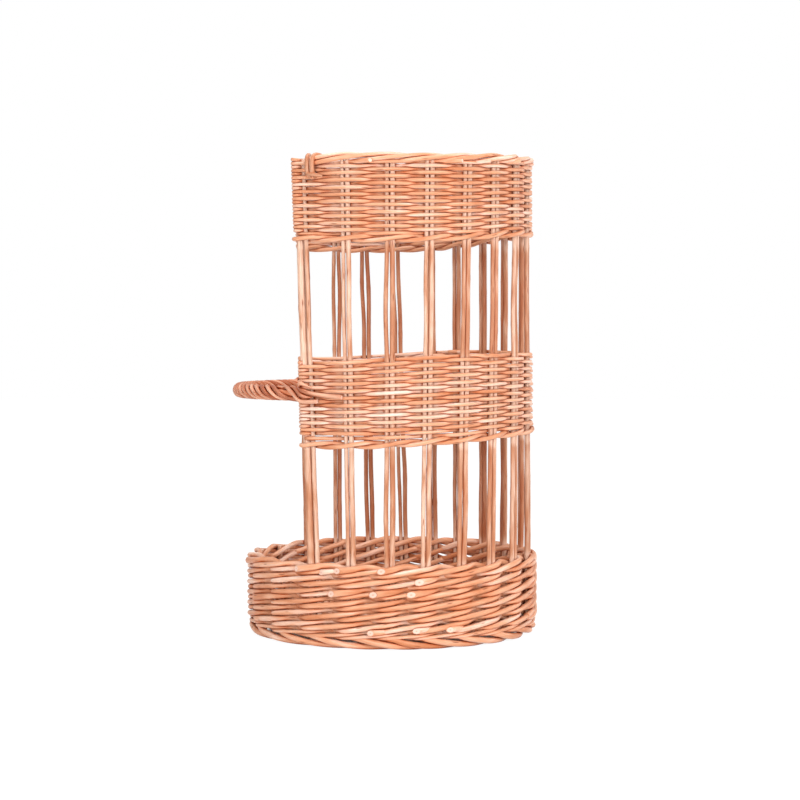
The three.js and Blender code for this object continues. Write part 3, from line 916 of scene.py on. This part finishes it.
TRIM_BACK = 0.6
TRIM_TONES = (0.3, 0.8)


def border_track(station, share):
    side = np.interp(share, BORDER_SHARES, BORDER_SIDES)
    height = np.interp(share, BORDER_SHARES, BORDER_LEVELS) * MM
    to_end = np.minimum(station, LAST - station) - BORDER_STARTS
    height = height - BORDER_DROP * np.clip(1 - to_end / BORDER_RISE, 0, 1)
    height = lifted(station, height) + rng.normal(0, BORDER_STRAY)
    offset = smooth_values(BORDER_REACH * side, rounds=3)
    return wall_path(station, offset, smooth_values(height, rounds=3))


def add_trimmed_end(bundle, station):
    stations = station + np.array(TRIM_SHARES)
    height = lifted(stations, np.array(TRIM_LEVELS) * MM)
    track = smooth_curve(wall_path(stations, np.array(TRIM_SIDES) * BORDER_REACH, height), per_span=6)
    out, along = wall_axes(station_angle(station, BASKET_HEIGHT))
    face = TRIM_OUT * (out + TRIM_TILT) - TRIM_BACK * along
    bundle.add(track, BORDER_ROD, rng.uniform(*TRIM_TONES), end_cut=face)


def add_top_border():
    bundle = RodBundle(WEAVE_SIDES)
    share = np.linspace(BORDER_SHARES[0], BORDER_SHARES[-1], BORDER_POINTS)
    for k in range(-2, LAST + 1):
        station = k + share
        keep = (station > BORDER_STARTS) & (station < LAST - BORDER_STARTS)
        if keep.sum() < BORDER_LEAST:
            continue
        track = border_track(station[keep], share[keep])
        thick = BORDER_ROD * rng.uniform(*BORDER_THICKNESS) * np.linspace(*BORDER_TAPER, len(track))
        bundle.add(track, thick, rng.uniform(*BORDER_TONES))
    for station in TRIM_PLACES:
        add_trimmed_end(bundle, station)
    bundle.build("top_border_rods", woven_willow, "top_border")


add_top_border()
print("border strokes and", len(TRIM_PLACES), "trimmed ends laid")

# %% [markdown]
# Beside each end post a rod is hooked over the border twice. Each hook comes up the inside, bends over the
# top and goes down the outside into the weave. The tip of the rod is left lying along the band and tapers
# off. A few control points across the wall are enough for a smooth hook, so nothing has to be simulated.

# %% Lashings
LASHING_ROD = 2.5 * MM
HOOK_OFFSETS = (-6.2, -6.2, -3.2, 2.2, 6.0, 7.9, 7.9, 6.2, 1.0)
HOOK_LEVELS = (468, 478, 481.8, 482.7, 481.0, 476.5, 468, 463.8, 462.3)
HOOK_SWINGS = (1, 1, 0.8, 0.4, 0.1, 0, 0, 0, 0)
HOOKS = ((0.325, -0.09), (0.425, 0.09))
HOOK_THICKNESS = (0.95, 1.05)
HOOK_TONES = (0.5, 0.7)
TIP_STATIONS = (0.24, 0.33, 0.43, 0.53, 0.61)
TIP_OFFSETS = (1.0, 7.2, 8.6, 8.2, 7.2)
TIP_LEVELS = (464.5, 464.4, 463.8, 462.9, 461.8)
TIP_TAPER = (1.15, 0.5)
TIP_TONE = 0.6


def add_lashing(side, post, direction):
    bundle = RodBundle(WEAVE_SIDES)
    for at, swing in HOOKS:
        station = post + direction * (at + swing * np.array(HOOK_SWINGS))
        hook = wall_path(station, np.array(HOOK_OFFSETS) * MM, np.array(HOOK_LEVELS) * MM)
        thick = LASHING_ROD * rng.uniform(*HOOK_THICKNESS)
        bundle.add(smooth_curve(hook, per_span=6), thick, rng.uniform(*HOOK_TONES))
    station = post + direction * np.array(TIP_STATIONS)
    tip = wall_path(station, np.array(TIP_OFFSETS) * MM, np.array(TIP_LEVELS) * MM)
    tip = smooth_curve(tip, per_span=6)
    bundle.add(tip, np.linspace(*TIP_TAPER, len(tip)) * LASHING_ROD, TIP_TONE)
    name = "lashing_" + side
    bundle.build(name + "_rod", upright_willow, name)


add_lashing("right", 0, 1)
add_lashing("left", LAST, -1)
print("hooks in each lashing:", len(HOOKS))

# %% [markdown]
# The tray is waled. Three rods work together, and each goes in front of two uprights and behind one, so
# two strokes always show outside, each climbing from the lower to the upper place. A plain wave would
# look too soft, so the in and out of a stroke is a curve of its own, which dives sharply between two
# uprights. A round stays level and steps up to the next one at the back.

# %% Strokes of the wale
WALE_RODS = 3
WALE_ROD = 2.75 * MM
WALE_REACH = STAKE_RADIUS + WALE_ROD
WALE_ROUND = 10.8 * MM
WALE_LOW = 19.7 * MM
WALE_ROUNDS = 6
WALE_SAMPLES = 11
WALE_START = 6.5
WALE_RAMP = 4
RIM_START = WALE_START + RING * (WALE_ROUNDS - 1)
WALE_END = WALE_START + RING * WALE_ROUNDS + WALE_RAMP
WALE_OUT = (-1, -0.55, -0.4, -0.24, -0.1, 1, 1.16, 1.45, 2)
WALE_SIDE = (-1, -0.95, -0.6, 0.75, 1.1, 1, 0.8, -0.7, -1)
WALE_CLIMB = (-1, -0.5, 1.5, 2)
WALE_RISE = (0.25, -0.25, 0.75, 0.25)


def wale_level(station):
    past = station - WALE_START
    done = np.floor(past / RING)
    climb = np.clip((past - RING * done) / WALE_RAMP, 0, 1)
    return np.clip(done - 1 + eased(climb), 0, WALE_ROUNDS - 1)


def stroke_phase(station, rod):
    return (station - rod + 1) % WALE_RODS - 1


def wale_offset(phase):
    return np.interp(phase, WALE_OUT, WALE_SIDE)


def wale_height(phase):
    return np.interp(phase, WALE_CLIMB, WALE_RISE)


def wale_track(rod, first, last):
    station = np.linspace(first, last, int((last - first) * WALE_SAMPLES) + 1)
    phase = stroke_phase(station, rod)
    offset = smooth_values(WALE_REACH * wale_offset(phase), rounds=2)
    height = wale_level(station) + smooth_values(wale_height(phase), rounds=4)
    return station, offset, WALE_LOW + WALE_ROUND * height


print("the wall has", WALE_ROUNDS, "rounds of", WALE_RODS, "rods")

# %% [markdown]
# New rods start with their thick butt ends left showing on the outside, over the thin end of the rod
# before. Random places would do for any basket, but the near side has its own, so they are listed as
# degrees from the back and heights in millimetres. Each goes to the stroke that passes nearest.

# %% Butt ends in the wall
BUTT_PLACES = (
    (128, 78), (117, 78), (110.5, 77), (94, 77), (113, 59), (97, 59), (83, 60), (80, 71), (-60, 45),
    (-95, 30), (-20, 55), (-45, 30), (-75, 62), (160, 40), (-140, 55), (172, 80),
)
BUTT_CLEAR = 3
BUTT_PHASES = (-0.2, 1.15)
HIDDEN_COST = 100


def ring_station(angle):
    around = np.degrees(FEET[0]) - angle
    return float(np.interp(around % 360, np.degrees(FEET[0] - FEET), np.arange(RING + 1)))


def choose_butts(places):
    chosen = {rod: [] for rod in range(WALE_RODS)}
    for angle, level in places:
        station = ring_station(angle) + RING * np.arange(WALE_ROUNDS + 1)
        station = station[(station > WALE_START + BUTT_CLEAR) & (station < WALE_END - BUTT_CLEAR)]
        options = []
        for rod in chosen:
            phase = stroke_phase(station, rod)
            height = WALE_LOW + WALE_ROUND * (wale_level(station) + wale_height(phase))
            shows = (phase > BUTT_PHASES[0]) & (phase < BUTT_PHASES[1])
            apart = np.abs(height / MM - level) + np.where(shows, 0, HIDDEN_COST)
            nearest = int(np.argmin(apart))
            options.append((apart[nearest], rod, float(station[nearest])))
        best = min(options)
        chosen[best[1]].append(best[2])
    return chosen


wall_butts = choose_butts(BUTT_PLACES)
print("butt ends on each rod:", [len(butts) for butts in wall_butts.values()])

# %% [markdown]
# With the strokes and the joins known, the wall can be laid. The last round is the rim, a piece of its
# own, and the lowest round is laid with thinner rods. Each rod gets its own thickness, tone and ripple,
# because copies of one rod would show at once.

# %% Waled tray wall and rim
WALE_THICKNESS = (0.94, 1.05)
WALE_TAPER = (1.06, 0.92)
BUTT_STAND = 2.4 * MM
BUTT_LEAD = 0.5
BUTT_SLANT = 0.55
BUTT_SWELL = 0.16
BUTT_RUN = 2
END_LAP = 0.3
END_LEAD = 1.2
END_SINK = 3.2 * MM
END_THIN = 0.35
THIN_ROD = 1.85 * MM
THIN_LOW = 12.4 * MM
THIN_ROUND = 6.8 * MM
THIN_START = 5
THIN_LAP = 0.6
THIN_TONES = (0.2, 0.9)
THIN_BUTTS = ((98, 18), (81, 20), (68, 20))
THIN_BUTT_ROD = 2.9 * MM
THIN_BUTT_TURN = 28
THIN_BUTT_TONES = (0.3, 0.8)
THIN_BUTT_STATIONS = (0, 0.2, 0.4, 0.6)
THIN_BUTT_OFFSETS = (9.2, 7.0, 3.2, -3.0)
THIN_BUTT_RISES = (0, 0.6, 1.2, 1.8)


def add_wale_rod(bundle, rod, begin, stop, butt, ends):
    station, offset, height = wale_track(rod, begin, stop)
    thick = WALE_ROD * rng.uniform(*WALE_THICKNESS) * np.linspace(*WALE_TAPER, len(station))
    thick += ripple(station, reach=0.15 * MM, wavelength=7.7)
    start_cut = None
    if butt:
        past = station - begin
        offset = offset + np.clip(1 - past / BUTT_LEAD, 0, 1) * (WALE_REACH + BUTT_STAND - offset)
        out, along = wall_axes(station_angle(begin, height[0]))
        start_cut = out + BUTT_SLANT * along
        thick = thick * (1 + BUTT_SWELL * np.clip(1 - past / BUTT_RUN, 0, 1))
    if ends:
        left = np.clip(1 - (stop - station) / END_LEAD, 0, 1)
        offset = offset - left * END_SINK
        thick = thick * (1 - END_THIN * left)
    height = height + ripple(station, reach=0.55 * MM, wavelength=5.3)
    bundle.add(wall_path(station, offset, height), thick, rng.uniform(0, 1), start_cut=start_cut)


def add_thin_round(bundle):
    for rod in range(WALE_RODS):
        begin = THIN_START + rod
        station = np.linspace(begin, begin + RING + THIN_LAP, int(RING * WALE_SAMPLES) + 1)
        phase = stroke_phase(station, rod)
        offset = smooth_values((STAKE_RADIUS + THIN_ROD) * wale_offset(phase), rounds=5)
        height = THIN_LOW + THIN_ROUND * smooth_values(wale_height(phase), rounds=4)
        height = height + ripple(station, reach=0.4 * MM, wavelength=5.1)
        bundle.add(wall_path(station, offset, height), THIN_ROD, rng.uniform(*THIN_TONES))
    for angle, level in THIN_BUTTS:
        station = ring_station(angle) + np.array(THIN_BUTT_STATIONS)
        height = (level + np.array(THIN_BUTT_RISES)) * MM
        track = smooth_curve(wall_path(station, np.array(THIN_BUTT_OFFSETS) * MM, height), per_span=6)
        start_cut = wall_axes(np.radians(angle + THIN_BUTT_TURN))[0]
        bundle.add(track, THIN_BUTT_ROD, rng.uniform(*THIN_BUTT_TONES), start_cut=start_cut)


def add_wale():
    wall = RodBundle(WEAVE_SIDES)
    rim = RodBundle(WEAVE_SIDES)
    for rod, butts in wall_butts.items():
        seam = RIM_START + (rod + 2 - RIM_START) % WALE_RODS
        marks = sorted(set([WALE_START, seam] + butts))
        for begin, finish in zip(marks, marks[1:] + [WALE_END]):
            ends = finish in butts
            stop = finish + END_LAP if ends else finish
            add_wale_rod(rim if begin >= seam else wall, rod, begin, stop, begin in butts, ends)
    add_thin_round(wall)
    wall.build("tray_wall_wale", woven_willow, "tray_wall")
    rim.build("tray_rim_wale", woven_willow, "tray_rim")


add_wale()
print("thin rods below the wall:", WALE_RODS, "with", len(THIN_BUTTS), "butt ends")

# %% [markdown]
# The basket stands on a foot border of thick rods. Each one comes out under the wall beside an upright,
# slopes down to the surface and runs on below the next ones. One stroke is a curve through seven points,
# and laying it again at every station gives the rope-like foot without any twisting.

# %% Foot border
FOOT_ROD = 3.3 * MM
FOOT_SHARES = (-0.5, -0.15, 0.15, 0.5, 0.95, 1.5, 2.1)
FOOT_OFFSETS = (-6.0, -1.0, 3.0, 3.6, 2.2, -2.5, -9.0)
FOOT_LEVELS = (13.0, 12.2, 10.4, 7.4, 4.7, 3.4, 3.4)
FOOT_STRAYS = (0.4, 0.4, 0.5)
FOOT_SHIFT = 0.07
FOOT_THICKNESS = (0.94, 1.02)
FOOT_TAPER = (1.0, 0.9)
FOOT_TONES = (-0.25, 0.65)


def add_foot_border():
    bundle = RodBundle(WEAVE_SIDES)
    for k in range(RING):
        level = np.array(FOOT_LEVELS)
        level[:len(FOOT_STRAYS)] += [rng.normal(0, stray) for stray in FOOT_STRAYS]
        station = k + np.array(FOOT_SHARES) + rng.normal(0, FOOT_SHIFT)
        track = smooth_curve(wall_path(station, np.array(FOOT_OFFSETS) * MM, level * MM), per_span=7)
        thick = FOOT_ROD * rng.uniform(*FOOT_THICKNESS) * np.linspace(*FOOT_TAPER, len(track))
        bundle.add(track, thick, rng.uniform(*FOOT_TONES))
    bundle.build("foot_border_rods", woven_willow, "foot_border")


add_foot_border()
print("foot rods:", RING)

# %% [markdown]
# The base starts from a cross of sticks: three are split and three are threaded through the splits. Their
# ends are fanned out like spokes, and two strands of thin rods are paired round and round them out to the
# wall. The first two rounds still tie each arm of the cross as one. A disc with bumps would do from afar,
# but the open front lets one look down on the base, so its rounds are real rods too.

# %% Base sticks
STICK_LEVEL = (base_low[2] + base_high[2]) / 2
BASE_RADIUS = (base_high[0] - base_low[0]) / 2
SPLIT_STICK = 4.0 * MM
THREADED_STICK = 2.6 * MM
STICK_GAP = 0.3 * MM
STICK_SHORT = 1.0 * MM
STICK_TAPER = 0.8
STICK_FAN = math.pi / 6
STICK_TONES = (0.3, 0.8)
SLATH_HALF = 16.5 * MM
STICK_BEND = 12 * MM


def stick_track(index, radius):
    across = index * (2 * radius + STICK_GAP)
    fan = index * STICK_FAN
    corner = np.array([across, SLATH_HALF])
    end = (BASE_RADIUS - STICK_SHORT) * np.array([math.sin(fan), math.cos(fan)])
    bend = corner + unit(end - corner) * STICK_BEND
    half = [end, (end + bend) / 2, bend, corner]
    controls = [(x, -y) for x, y in half] + [(across, 0)] + half[::-1]
    return smooth_curve([(x, y, STICK_LEVEL) for x, y in controls], per_span=7)


def add_base_stick(name, track, radius):
    bundle = RodBundle(WEAVE_SIDES)
    taper = np.interp(np.linspace(-1, 1, len(track)), (-1, 0, 1), (STICK_TAPER, 1, STICK_TAPER))
    bundle.add(track + np.array([0, AXIS_Y, 0]), radius * taper, rng.uniform(*STICK_TONES))
    bundle.build(name + "_rod", stick_willow, name)


for i, index in enumerate((-1, 0, 1), 1):
    add_base_stick(f"base_stick_split_{i}", stick_track(index, SPLIT_STICK), SPLIT_STICK)
    x, y, level = stick_track(index, THREADED_STICK).T
    add_base_stick(f"base_stick_threaded_{i}", np.stack([-y, x, level], axis=-1), THREADED_STICK)
print("base sticks:", 2 * i)

# %% Base weave
BASE_WEAVER = 2.3 * MM
BASE_PITCH = 2.55 * BASE_WEAVER
BASE_INNER = 24 * MM
BASE_SIDES = 6
BASE_RODS = 14
BASE_LAP = 3
BASE_SWING = SPLIT_STICK + 0.35 * BASE_WEAVER
BASE_SWAY = 0.45 * BASE_WEAVER
BASE_THICKNESS = (0.95, 1.08)
ARMS = 4
SPOKES = 12
SPOKE_SAMPLES = 5
TIED_ROUNDS = 2


def add_base_weave():
    bundle = RodBundle(BASE_SIDES)
    outer = BASE_RADIUS - BASE_WEAVER
    rounds = int((outer - BASE_INNER) / BASE_PITCH)
    turn = np.linspace(0, rounds, rounds * SPOKES * SPOKE_SAMPLES + 1)
    angle = 2 * math.pi * turn
    radius = BASE_INNER + (outer - BASE_INNER) * turn / rounds
    swing = np.where(turn < TIED_ROUNDS, ARMS, SPOKES) * angle / 2
    for side in (1, -1):
        level = STICK_LEVEL + side * BASE_SWING * np.cos(swing)
        wide = radius + side * BASE_SWAY * np.sin(swing)
        track = np.stack([wide * np.sin(angle), AXIS_Y + wide * np.cos(angle), level], axis=-1)
        for part in np.array_split(np.arange(len(track)), BASE_RODS):
            rod = track[part[0]:part[-1] + BASE_LAP]
            bundle.add(rod, BASE_WEAVER * rng.uniform(*BASE_THICKNESS), rng.uniform(0, 1))
    bundle.build("base_weave_rods", woven_willow, "base_weave")
    return rounds


print("paired rounds in the base:", add_base_weave())

# %% [markdown]
# The bar across the front is a bow with six rods roped round it. The bow follows the same curve as in
# the CAD model: it leaves each post along the band and meets in the foremost point. It is a Bezier curve.
# Half way along, such a curve lies at an eighth of the sum of both ends and three times both handles, and
# that gives the pull of the handles. A screw modifier winds only round a straight axis, so the strands
# are laid round the bow's own curve.

# %% Curve of the bar
HANDLE_HEIGHT = 250 * MM
HANDLE_REACH = 165 * MM
HANDLE_RADIUS = 7.8 * MM
POST_CLEAR = 0.2 * MM
BOW_RADIUS = 3.3 * MM
BOW_POINTS = 60
BOW_TONE = 0.4


def handle_end(station, sign):
    along = sign * wall_axes(station_angle(station, HANDLE_HEIGHT))[1]
    start = wall_path(station, 0, HANDLE_HEIGHT) + along * (POST_RADIUS + POST_CLEAR)
    return start, along


def handle_curve(count):
    right, right_along = handle_end(0, 1)
    left, left_along = handle_end(LAST, -1)
    right_y = right[1] - AXIS_Y
    left_y = left[1] - AXIS_Y
    drawn = (8 * (HANDLE_RADIUS - HANDLE_REACH) - right_y - left_y) / 6
    right_pull = (drawn + (left_y - right_y) / 2 - right_y) / right_along[1]
    left_pull = (drawn + (right_y - left_y) / 2 - left_y) / left_along[1]
    a, b, c, d = right, right + right_along * right_pull, left + left_along * left_pull, left
    share = np.linspace(0, 1, count)[:, None]
    rest = 1 - share
    return a * rest ** 3 + 3 * b * rest ** 2 * share + 3 * c * rest * share ** 2 + d * share ** 3


def add_bow():
    bundle = RodBundle(UPRIGHT_SIDES)
    bundle.add(handle_curve(BOW_POINTS), BOW_RADIUS, BOW_TONE)
    bundle.build("handle_bow_rod", stick_willow, "handle_bow")


add_bow()
print("the bow is", round(run_length(handle_curve(BOW_POINTS))[-1] / MM), "mm long")

# %% [markdown]
# Near a post the rods leave the rope one after another: some run out over the outside of the band and
# end in plain cuts, the others go to the inside, so that the bare bow shows for a short way. Each tail is
# listed with the length of rope that it skips, then its way over the band as stations from the post,
# offsets and heights in millimetres, and whether it ends in a square cut.

# %% Tails of the roping
RIGHT_TAILS = (
    (7, ((-0.02, 9.8, 243.6), (0.12, 9.6, 242.4), (0.4, 9.0, 242.8)), True),
    (5, ((0.03, 10.0, 249.4), (0.15, 9.4, 247.2), (0.26, 6.5, 246.4)), False),
    (6, ((0.06, 10.4, 253.4), (0.27, 9.6, 250.6), (0.53, 9.0, 249.0), (0.93, 9.0, 247.2)), True),
    (5, ((0.02, 10.4, 260.0), (0.13, 9.6, 258.6), (0.25, 8.6, 256.2)), False),
    (13, ((0.02, -8.6, 242.0), (0.3, -9.0, 241.6), (0.6, -8.6, 242.4)), True),
    (34, ((-0.3, -5.2, 253.0), (0.05, -10.0, 254.0), (0.5, -9.0, 255.0)), True),
)
LEFT_TAILS = (
    (8, ((0.05, 10.2, 258.5), (0.25, 9.2, 259.5)), True),
    (8, ((0.05, 10.4, 253.5), (0.4, 9.2, 254.5)), True),
    (8, ((0.05, 10.4, 248.0), (0.7, 9.2, 249.0)), True),
    (8, ((0.05, 10.2, 242.5), (0.3, 9.2, 243.5)), True),
    (8, ((0.05, -9.8, 257.0), (0.3, -9.0, 257.5)), True),
    (8, ((0.05, -9.8, 243.0), (0.35, -9.0, 243.5)), True),
)


def tail_points(post, direction, steps):
    steps = np.array(steps)
    return wall_path(post + direction * steps[:, 0], steps[:, 1] * MM, steps[:, 2] * MM)


print("tails at each post:", len(RIGHT_TAILS))

# %% Roped bar
ROPE_RODS = len(RIGHT_TAILS)
ROPE_ROD = 2.1 * MM
ROPE_LEAD = 56 * MM
ROPE_CIRCLE = 5.6 * MM
ROPE_TOP = 21.2 * MM
ROPE_POINTS = 360
OUTER_TAILS = 4
TAIL_PALE = 0.45
ROPE_THICKNESS = (0.96, 1.06)
ROPE_TONES = (-0.1, 1.2)
LEAD_SAMPLES = 8
RUN_TRIM = 3
TIP_POINTS = 14
TIP_THIN = 0.3


def rope_strands():
    core = handle_curve(ROPE_POINTS)
    length = run_length(core)
    tangents, normals, binormals = rod_axes(core)
    strands = []
    for k in range(ROPE_RODS):
        wind = 2 * math.pi * (k / ROPE_RODS + (length - ROPE_TOP) / ROPE_LEAD)[:, None]
        strands.append(core + ROPE_CIRCLE * (np.cos(wind) * normals + np.sin(wind) * binormals))
    return core, length, strands


def left_order(core, length, strands):
    end = np.flatnonzero(length < length[-1] - LEFT_TAILS[0][0] * MM)[-1]
    out = outward(core[end])
    outer = sorted(range(ROPE_RODS), key=lambda k: -(strands[k][end] - core[end]) @ out)
    high = sorted(outer[:OUTER_TAILS], key=lambda k: -strands[k][end][2])
    low = sorted(outer[OUTER_TAILS:], key=lambda k: -strands[k][end][2])
    return high + low


def add_roping():
    core, length, strands = rope_strands()
    order = left_order(core, length, strands)
    bundle = RodBundle(WEAVE_SIDES)
    for k, strand in enumerate(strands):
        right_free, right_steps, right_cut = RIGHT_TAILS[k]
        left_free, left_steps, left_cut = LEFT_TAILS[order.index(k)]
        run = strand[(length > right_free * MM) & (length < length[-1] - left_free * MM)]
        right_tail = tail_points(0, 1, right_steps)[::-1]
        left_tail = tail_points(LAST, -1, left_steps)
        lead_in = np.vstack([right_tail, run[0], run[LEAD_SAMPLES]])
        lead_in = smooth_curve(lead_in, LEAD_SAMPLES)[:-LEAD_SAMPLES]
        lead_out = np.vstack([run[-LEAD_SAMPLES - 1], run[-1], left_tail])
        lead_out = smooth_curve(lead_out, LEAD_SAMPLES)[LEAD_SAMPLES:]
        track = np.vstack([lead_in, run[RUN_TRIM:-RUN_TRIM], lead_out])
        thick = np.full(len(track), ROPE_ROD * rng.uniform(*ROPE_THICKNESS))
        if not right_cut:
            thick[:TIP_POINTS] *= np.linspace(TIP_THIN, 1, TIP_POINTS)
        pale = np.zeros(len(track))
        pale[:len(lead_in)] = np.linspace(TAIL_PALE, 0, len(lead_in))
        start_cut = track[0] - track[1] if right_cut else None
        end_cut = track[-1] - track[-2] if left_cut else None
        bundle.add(track, thick, rng.uniform(*ROPE_TONES), start_cut, end_cut, pale)
    bundle.build("handle_roping_rods", handle_willow, "handle_roping")


add_roping()
print("roping rods:", ROPE_RODS)

# %% [markdown]
# The studio is plain: a pale floor and a white surrounding. Stronger lamps could turn them white, but
# they would wash out the willow. Instead the camera and reflections see them as white, while the floor
# still takes a faint shadow round the foot and lies dark under the base.

# %% Floor
WHITE = (1, 1, 1, 1)
PALE = (0.9, 0.9, 0.9, 1)
FLOOR_HALF = 6.0
FLOOR_GLOW = 1.12
FLOOR_WHITE = 0.85
SHADE_INNER = BASE_RADIUS - 6 * MM
SHADE_OUTER = BASE_RADIUS + 4 * MM


def white_rays(tree):
    path = tree.nodes.new("ShaderNodeLightPath")
    rays = math_node(tree, "MAXIMUM", path.outputs["Is Camera Ray"], path.outputs["Is Glossy Ray"])
    return math_node(tree, "MAXIMUM", rays, path.outputs["Is Transmission Ray"])


def mix_shaders(tree, factor, first, second):
    mix = tree.nodes.new("ShaderNodeMixShader")
    link(tree, factor, mix.inputs[0])
    link(tree, first.outputs[0], mix.inputs[1])
    link(tree, second.outputs[0], mix.inputs[2])
    return mix.outputs[0]


def make_floor_material():
    material = bpy.data.materials.new("studio floor")
    material.use_nodes = True
    tree = material.node_tree
    tree.nodes.remove(tree.nodes["Principled BSDF"])
    matt = tree.nodes.new("ShaderNodeBsdfDiffuse")
    matt.inputs["Color"].default_value = PALE
    glow = tree.nodes.new("ShaderNodeEmission")
    glow.inputs["Color"].default_value = WHITE
    glow.inputs["Strength"].default_value = FLOOR_GLOW
    place_on_floor = tree.nodes.new("ShaderNodeTexCoord")
    distance = tree.nodes.new("ShaderNodeVectorMath")
    distance.operation = "LENGTH"
    link(tree, place_on_floor.outputs["Object"], distance.inputs[0])
    clear = range_value(tree, distance.outputs["Value"], SHADE_INNER, SHADE_OUTER, 0.0, FLOOR_WHITE)
    share = math_node(tree, "MULTIPLY", white_rays(tree), clear)
    link(tree, mix_shaders(tree, share, matt, glow), tree.nodes["Material Output"].inputs["Surface"])
    return material


def make_floor():
    mesh = bpy.data.meshes.new("floor")
    half = FLOOR_HALF
    corners = [(-half, -half, 0), (half, -half, 0), (half, half, 0), (-half, half, 0)]
    mesh.from_pydata(corners, [], [(0, 1, 2, 3)])
    mesh.materials.append(make_floor_material())
    floor = bpy.data.objects.new("floor", mesh)
    floor.location = (0, AXIS_Y, 0)
    bpy.context.scene.collection.objects.link(floor)


make_floor()
print("floor:", 2 * FLOOR_HALF, "m across")

# %% Surroundings
WORLD_TINT = (1.0, 0.985, 0.97, 1)
WORLD_LIGHT = 0.5
WORLD_WHITE = 1.0


def add_background(tree, colour, strength):
    background = tree.nodes.new("ShaderNodeBackground")
    background.inputs["Color"].default_value = colour
    background.inputs["Strength"].default_value = strength
    return background


def make_world():
    world = bpy.data.worlds.new("white studio")
    bpy.context.scene.world = world
    world.use_nodes = True
    tree = world.node_tree
    tree.nodes.clear()
    light = add_background(tree, WORLD_TINT, WORLD_LIGHT)
    white = add_background(tree, WHITE, WORLD_WHITE)
    result = tree.nodes.new("ShaderNodeOutputWorld")
    link(tree, mix_shaders(tree, white_rays(tree), light, white), result.inputs["Surface"])


make_world()
print("surroundings light the basket with", WORLD_LIGHT)

# %% [markdown]
# Four soft lamps model the rods: the key stands towards the basket's back, the fill beside the camera, and
# two weaker ones are overhead and behind. One big light would be softer, but it would flatten the weave.

# %% Lamps
LAMP_TINT = (1.0, 0.98, 0.97)
LAMP_TARGET = (0.0, 0.0, 0.25)
LAMPS = (
    ("key", (1.8, 1.2, 0.95), 0.7, 24.5),
    ("fill", (2.2, -0.7, 0.5), 0.9, 25),
    ("top", (0.2, 0.0, 1.7), 0.9, 18),
    ("rim", (-0.5, 1.8, 0.6), 0.9, 8),
)


def add_lamp(name, position, size, power):
    data = bpy.data.lights.new(name, "AREA")
    data.shape = "SQUARE"
    data.size = size
    data.energy = power
    data.color = LAMP_TINT
    lamp = bpy.data.objects.new(name, data)
    lamp.location = position
    lamp.rotation_euler = (Vector(LAMP_TARGET) - Vector(position)).to_track_quat("-Z", "Y").to_euler()
    bpy.context.scene.collection.objects.link(lamp)


for name, position, size, power in LAMPS:
    add_lamp(name, position, size, power)
print("lamps:", len(LAMPS))

# %% [markdown]
# The camera stands level with the upper part of the basket, square to its side, about 2.3 m away with a
# long lens. It was found from the heights at which the near and far edges of the tray and bands show. A
# nearer camera with a shorter lens would give the same size, but would open those edges too far.

# %% Camera
IMAGE = 800
FOCAL_PIXELS = 2200
HORIZON_PIXELS = 88
SENSOR = 36.0
EYE = (2.276, 0.0147, 0.330)
PITCH = math.atan2(HORIZON_PIXELS, FOCAL_PIXELS)

camera_data = bpy.data.cameras.new("photo camera")
camera_data.sensor_width = SENSOR
camera_data.lens = SENSOR * FOCAL_PIXELS / IMAGE
camera = bpy.data.objects.new("photo camera", camera_data)
camera.location = EYE
camera.rotation_euler = (math.pi / 2 - PITCH, 0, math.pi / 2)
bpy.context.scene.collection.objects.link(camera)
bpy.context.scene.camera = camera
bpy.context.scene.view_settings.view_transform = "Standard"
print("camera lens:", round(camera_data.lens, 1), "mm")
